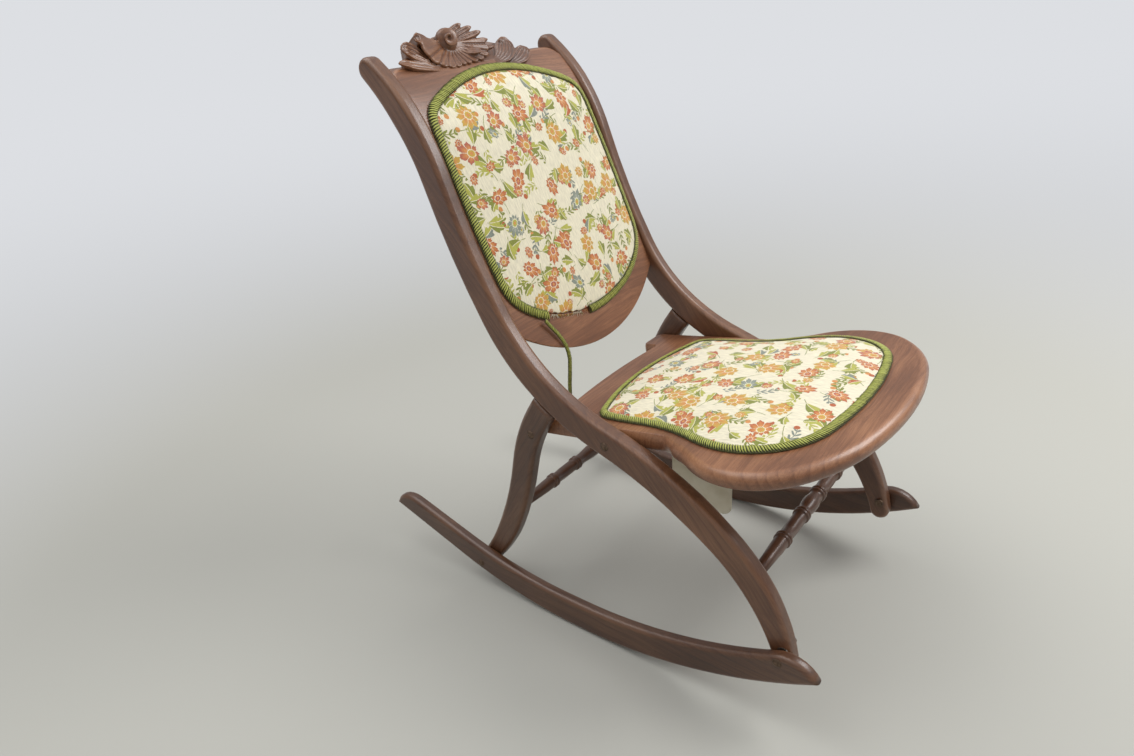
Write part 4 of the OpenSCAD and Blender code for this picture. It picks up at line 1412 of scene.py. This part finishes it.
def carved_skirt():
    """The rose's wide outer petals, ruffled, with creases between them."""
    degrees = np.linspace(168, 358, 190)
    reach = np.interp(degrees, [168, 205, 229, 270, 301, 321, 338, 358],
                      [64, 66, 54, 41, 46, 60, 76, 72])
    creases = np.array([201.0, 217, 233, 250, 267, 284, 300, 315, 328, 339, 349])
    apart = np.abs(degrees[:, None] - creases)
    nearest = apart.min(axis=1)
    reach = np.convolve(np.pad(reach, 8, "edge"), np.ones(17) / 17, "valid")
    reach -= 3.0 * np.exp(-(nearest / 3.0) ** 2)
    f, a = np.meshgrid(np.linspace(0.08, 1, 60), np.radians(degrees), indexing="ij")
    r = f * reach
    u, v = BUD_AT[0] + 3 + r * np.cos(a), BUD_AT[1] - 4 + r * np.sin(a)
    apart_mm = np.radians(nearest) * r
    ruffle = np.cos(np.radians(degrees) * 26) * 0.5 * f ** 2
    top = 9.5 + 10.5 * f ** 1.5 + ruffle
    top -= 2.4 * np.exp(-(apart_mm / 1.2) ** 2) * np.clip((f - 0.3) / 0.2, 0, 1)
    top += 1.2 * np.exp(-((apart_mm - 4.0) / 3.0) ** 2) * f
    top -= 2.6 * np.clip((f - 0.95) / 0.05, 0, 1) ** 2
    return between(u, v, top, under_lip(top, v, f))


def carved_bud():
    """Rolled petals round a hollow: a ball whose radius steps down along a spiral."""
    axis = BUD_AXIS / np.linalg.norm(BUD_AXIS)
    side = np.cross(axis, (0, 1, 0))
    side /= np.linalg.norm(side)
    other = np.cross(axis, side)
    rows, columns = 90, 120
    polar = np.linspace(0, math.pi, rows)
    points = []
    for t in polar:
        a = np.arange(columns) * 2 * math.pi / columns
        layer = np.mod(math.degrees(t) / 40 - a / (2 * math.pi) + 0.2, 1.0)
        r = BUD_R - 2.6 + 4.4 * layer ** 1.5 * (t < 2.3)
        r = r - 7.0 * math.exp(-(math.degrees(t) / 13) ** 2)
        ring = np.outer(r * math.cos(t), axis) + np.outer(r * math.sin(t) * np.cos(a), side)
        points.append(BUD_AT + ring + np.outer(r * math.sin(t) * np.sin(a), other))
    faces = [(j * columns + i, j * columns + (i + 1) % columns,
              (j + 1) * columns + (i + 1) % columns, (j + 1) * columns + i)
             for j in range(rows - 1) for i in range(columns)]
    return np.vstack(points), faces


def crest_ground():
    outline = even(np.array(CREST_GROUND, float)[::-1], 3.0)
    flat, triangles, order = filled(outline, 5.0)
    n = len(flat)
    top = crest_face(flat[:, 1]) + 0.6
    points = np.vstack([np.column_stack([flat, top]), np.column_stack([flat, top - CREST_T])])
    faces = [tuple(t) for t in triangles] + [tuple(n + i for i in reversed(t)) for t in triangles]
    faces += [(b, a, n + a, n + b) for a, b in zip(order, order[1:] + order[:1])]
    return points, faces


def hollows(mesh):
    """How far each point stands out of its neighbours (above 0) or lies in a hollow."""
    co = np.empty(len(mesh.vertices) * 3)
    mesh.vertices.foreach_get("co", co)
    co = co.reshape(-1, 3) / MM
    normal = np.empty(len(co) * 3)
    mesh.vertices.foreach_get("normal", normal)
    normal = normal.reshape(-1, 3)
    edge = np.empty(len(mesh.edges) * 2, np.int32)
    mesh.edges.foreach_get("vertices", edge)
    a, b = edge.reshape(-1, 2).T
    count = np.bincount(np.concatenate([a, b]), minlength=len(co)).astype(float)
    value = None
    for _ in range(8):
        total = np.zeros_like(co if value is None else value)
        source = co if value is None else value
        np.add.at(total, a, source[b])
        np.add.at(total, b, source[a])
        mean = total / count.reshape(-1, *([1] * (total.ndim - 1)))
        value = np.sum((co - mean) * normal, axis=1) if value is None else 0.5 * (value + mean)
    return value


class ChairCarveCrest(bpy.types.Operator):
    """Carve the crest: a rose with its leaves"""
    bl_idname = "chair.carve_crest"
    bl_label = "Carved crest"

    def execute(self, context):
        points, faces = [], []
        for some, its_faces in (
            crest_ground(), carved_skirt(), carved_bud(), *(carved_petal(*p) for p in CREST_PETALS)
        ):
            first = sum(len(p) for p in points)
            points.append(some)
            faces += [tuple(first + i for i in f) for f in its_faces]
        piece = mesh_object("crest_wood", np.vstack(points), faces)
        remesh = piece.modifiers.new("One solid", "REMESH")
        remesh.mode = "VOXEL"
        remesh.voxel_size = 0.0009
        smooth = piece.modifiers.new("Knife marks softened", "SMOOTH")
        smooth.factor = 0.5
        smooth.iterations = 3
        flat = fixed(piece) / MM
        rub = np.clip(hollows(piece.data) * 14, -2.5, 1.0)
        for key, kind, word, values in (
            ("grain", "FLOAT_VECTOR", "vector", flat + [200, 0, 0]), ("rub", "FLOAT", "value", rub),
        ):
            piece.data.attributes.new(key, kind, "POINT").data.foreach_set(
                word, np.asarray(values, np.float32).ravel())
        piece.data.vertices.foreach_set("co", (on_crest(flat) * MM).astype(np.float32).ravel())
        piece.data.update()
        piece.data.shade_smooth()
        piece.data.materials.append(
            stained_walnut("Stained walnut, satin varnish, carved", 0.86, 0.4))
        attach(piece, "back_frame")
        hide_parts("crest_carving")
        return {"FINISHED"}


class ChairFinishHardware(bpy.types.Operator):
    """Give bolts, nuts and washers their steel"""
    bl_idname = "chair.finish_hardware"
    bl_label = "Bolts, nuts and washers"

    def execute(self, context):
        dark = aged_steel("Aged blued steel", "#7a6656", 0.42)
        plain = aged_steel("Plain steel, dulled", "#8f8a82", 0.34)
        for node in ("foot_bolts", "foot_nuts", "seat_bolts", "leg_bolts", "rear_nuts",
                     "rear_bolt_right", "rear_bolt_left", "foot_washers", "seat_washers"):
            finish = plain if "washers" in node else dark
            for place in NODES[node].material_slots:
                place.material = finish
        return {"FINISHED"}


CLASSES = (
    ChairWood, ChairTapestry, ChairBraid, ChairStage,
    ChairSetStage, ChairHangLooseBraid, ChairMakeFrame, ChairTurnRungs, ChairMakePanel,
    ChairCarveCrest, ChairMakeSeat, ChairFillPads, ChairSewBraid, ChairHangTag, ChairFinishHardware,
)
STEPS = [c for c in CLASSES if issubclass(c, bpy.types.Operator)]


class ChairPanel(bpy.types.Panel):
    """Sizes, colours and steps of the chair"""
    bl_idname = "VIEW3D_PT_chair"
    bl_label = "Folding rocking chair"
    bl_space_type = "VIEW_3D"
    bl_region_type = "UI"
    bl_category = "Chair"

    def draw(self, context):
        for group in ("chair_wood", "chair_tapestry", "chair_braid", "chair_stage"):
            box = self.layout.box()
            values = getattr(context.scene, group)
            for key in values.bl_rna.properties.keys():
                if key not in ("rna_type", "name"):
                    box.prop(values, key)
        for step in STEPS:
            self.layout.operator(step.bl_idname)


def register():
    for c in (*CLASSES, ChairPanel):
        bpy.utils.register_class(c)
    bpy.types.Scene.chair_wood = bpy.props.PointerProperty(type=ChairWood)
    bpy.types.Scene.chair_tapestry = bpy.props.PointerProperty(type=ChairTapestry)
    bpy.types.Scene.chair_braid = bpy.props.PointerProperty(type=ChairBraid)
    bpy.types.Scene.chair_stage = bpy.props.PointerProperty(type=ChairStage)


def unregister():
    for group in ("chair_wood", "chair_tapestry", "chair_braid", "chair_stage"):
        delattr(bpy.types.Scene, group)
    for c in reversed((*CLASSES, ChairPanel)):
        bpy.utils.unregister_class(c)


def main():
    register()
    for step in STEPS:
        group, name = step.bl_idname.split(".")
        getattr(getattr(bpy.ops, group), name)()


if __name__ == "__main__":
    main()
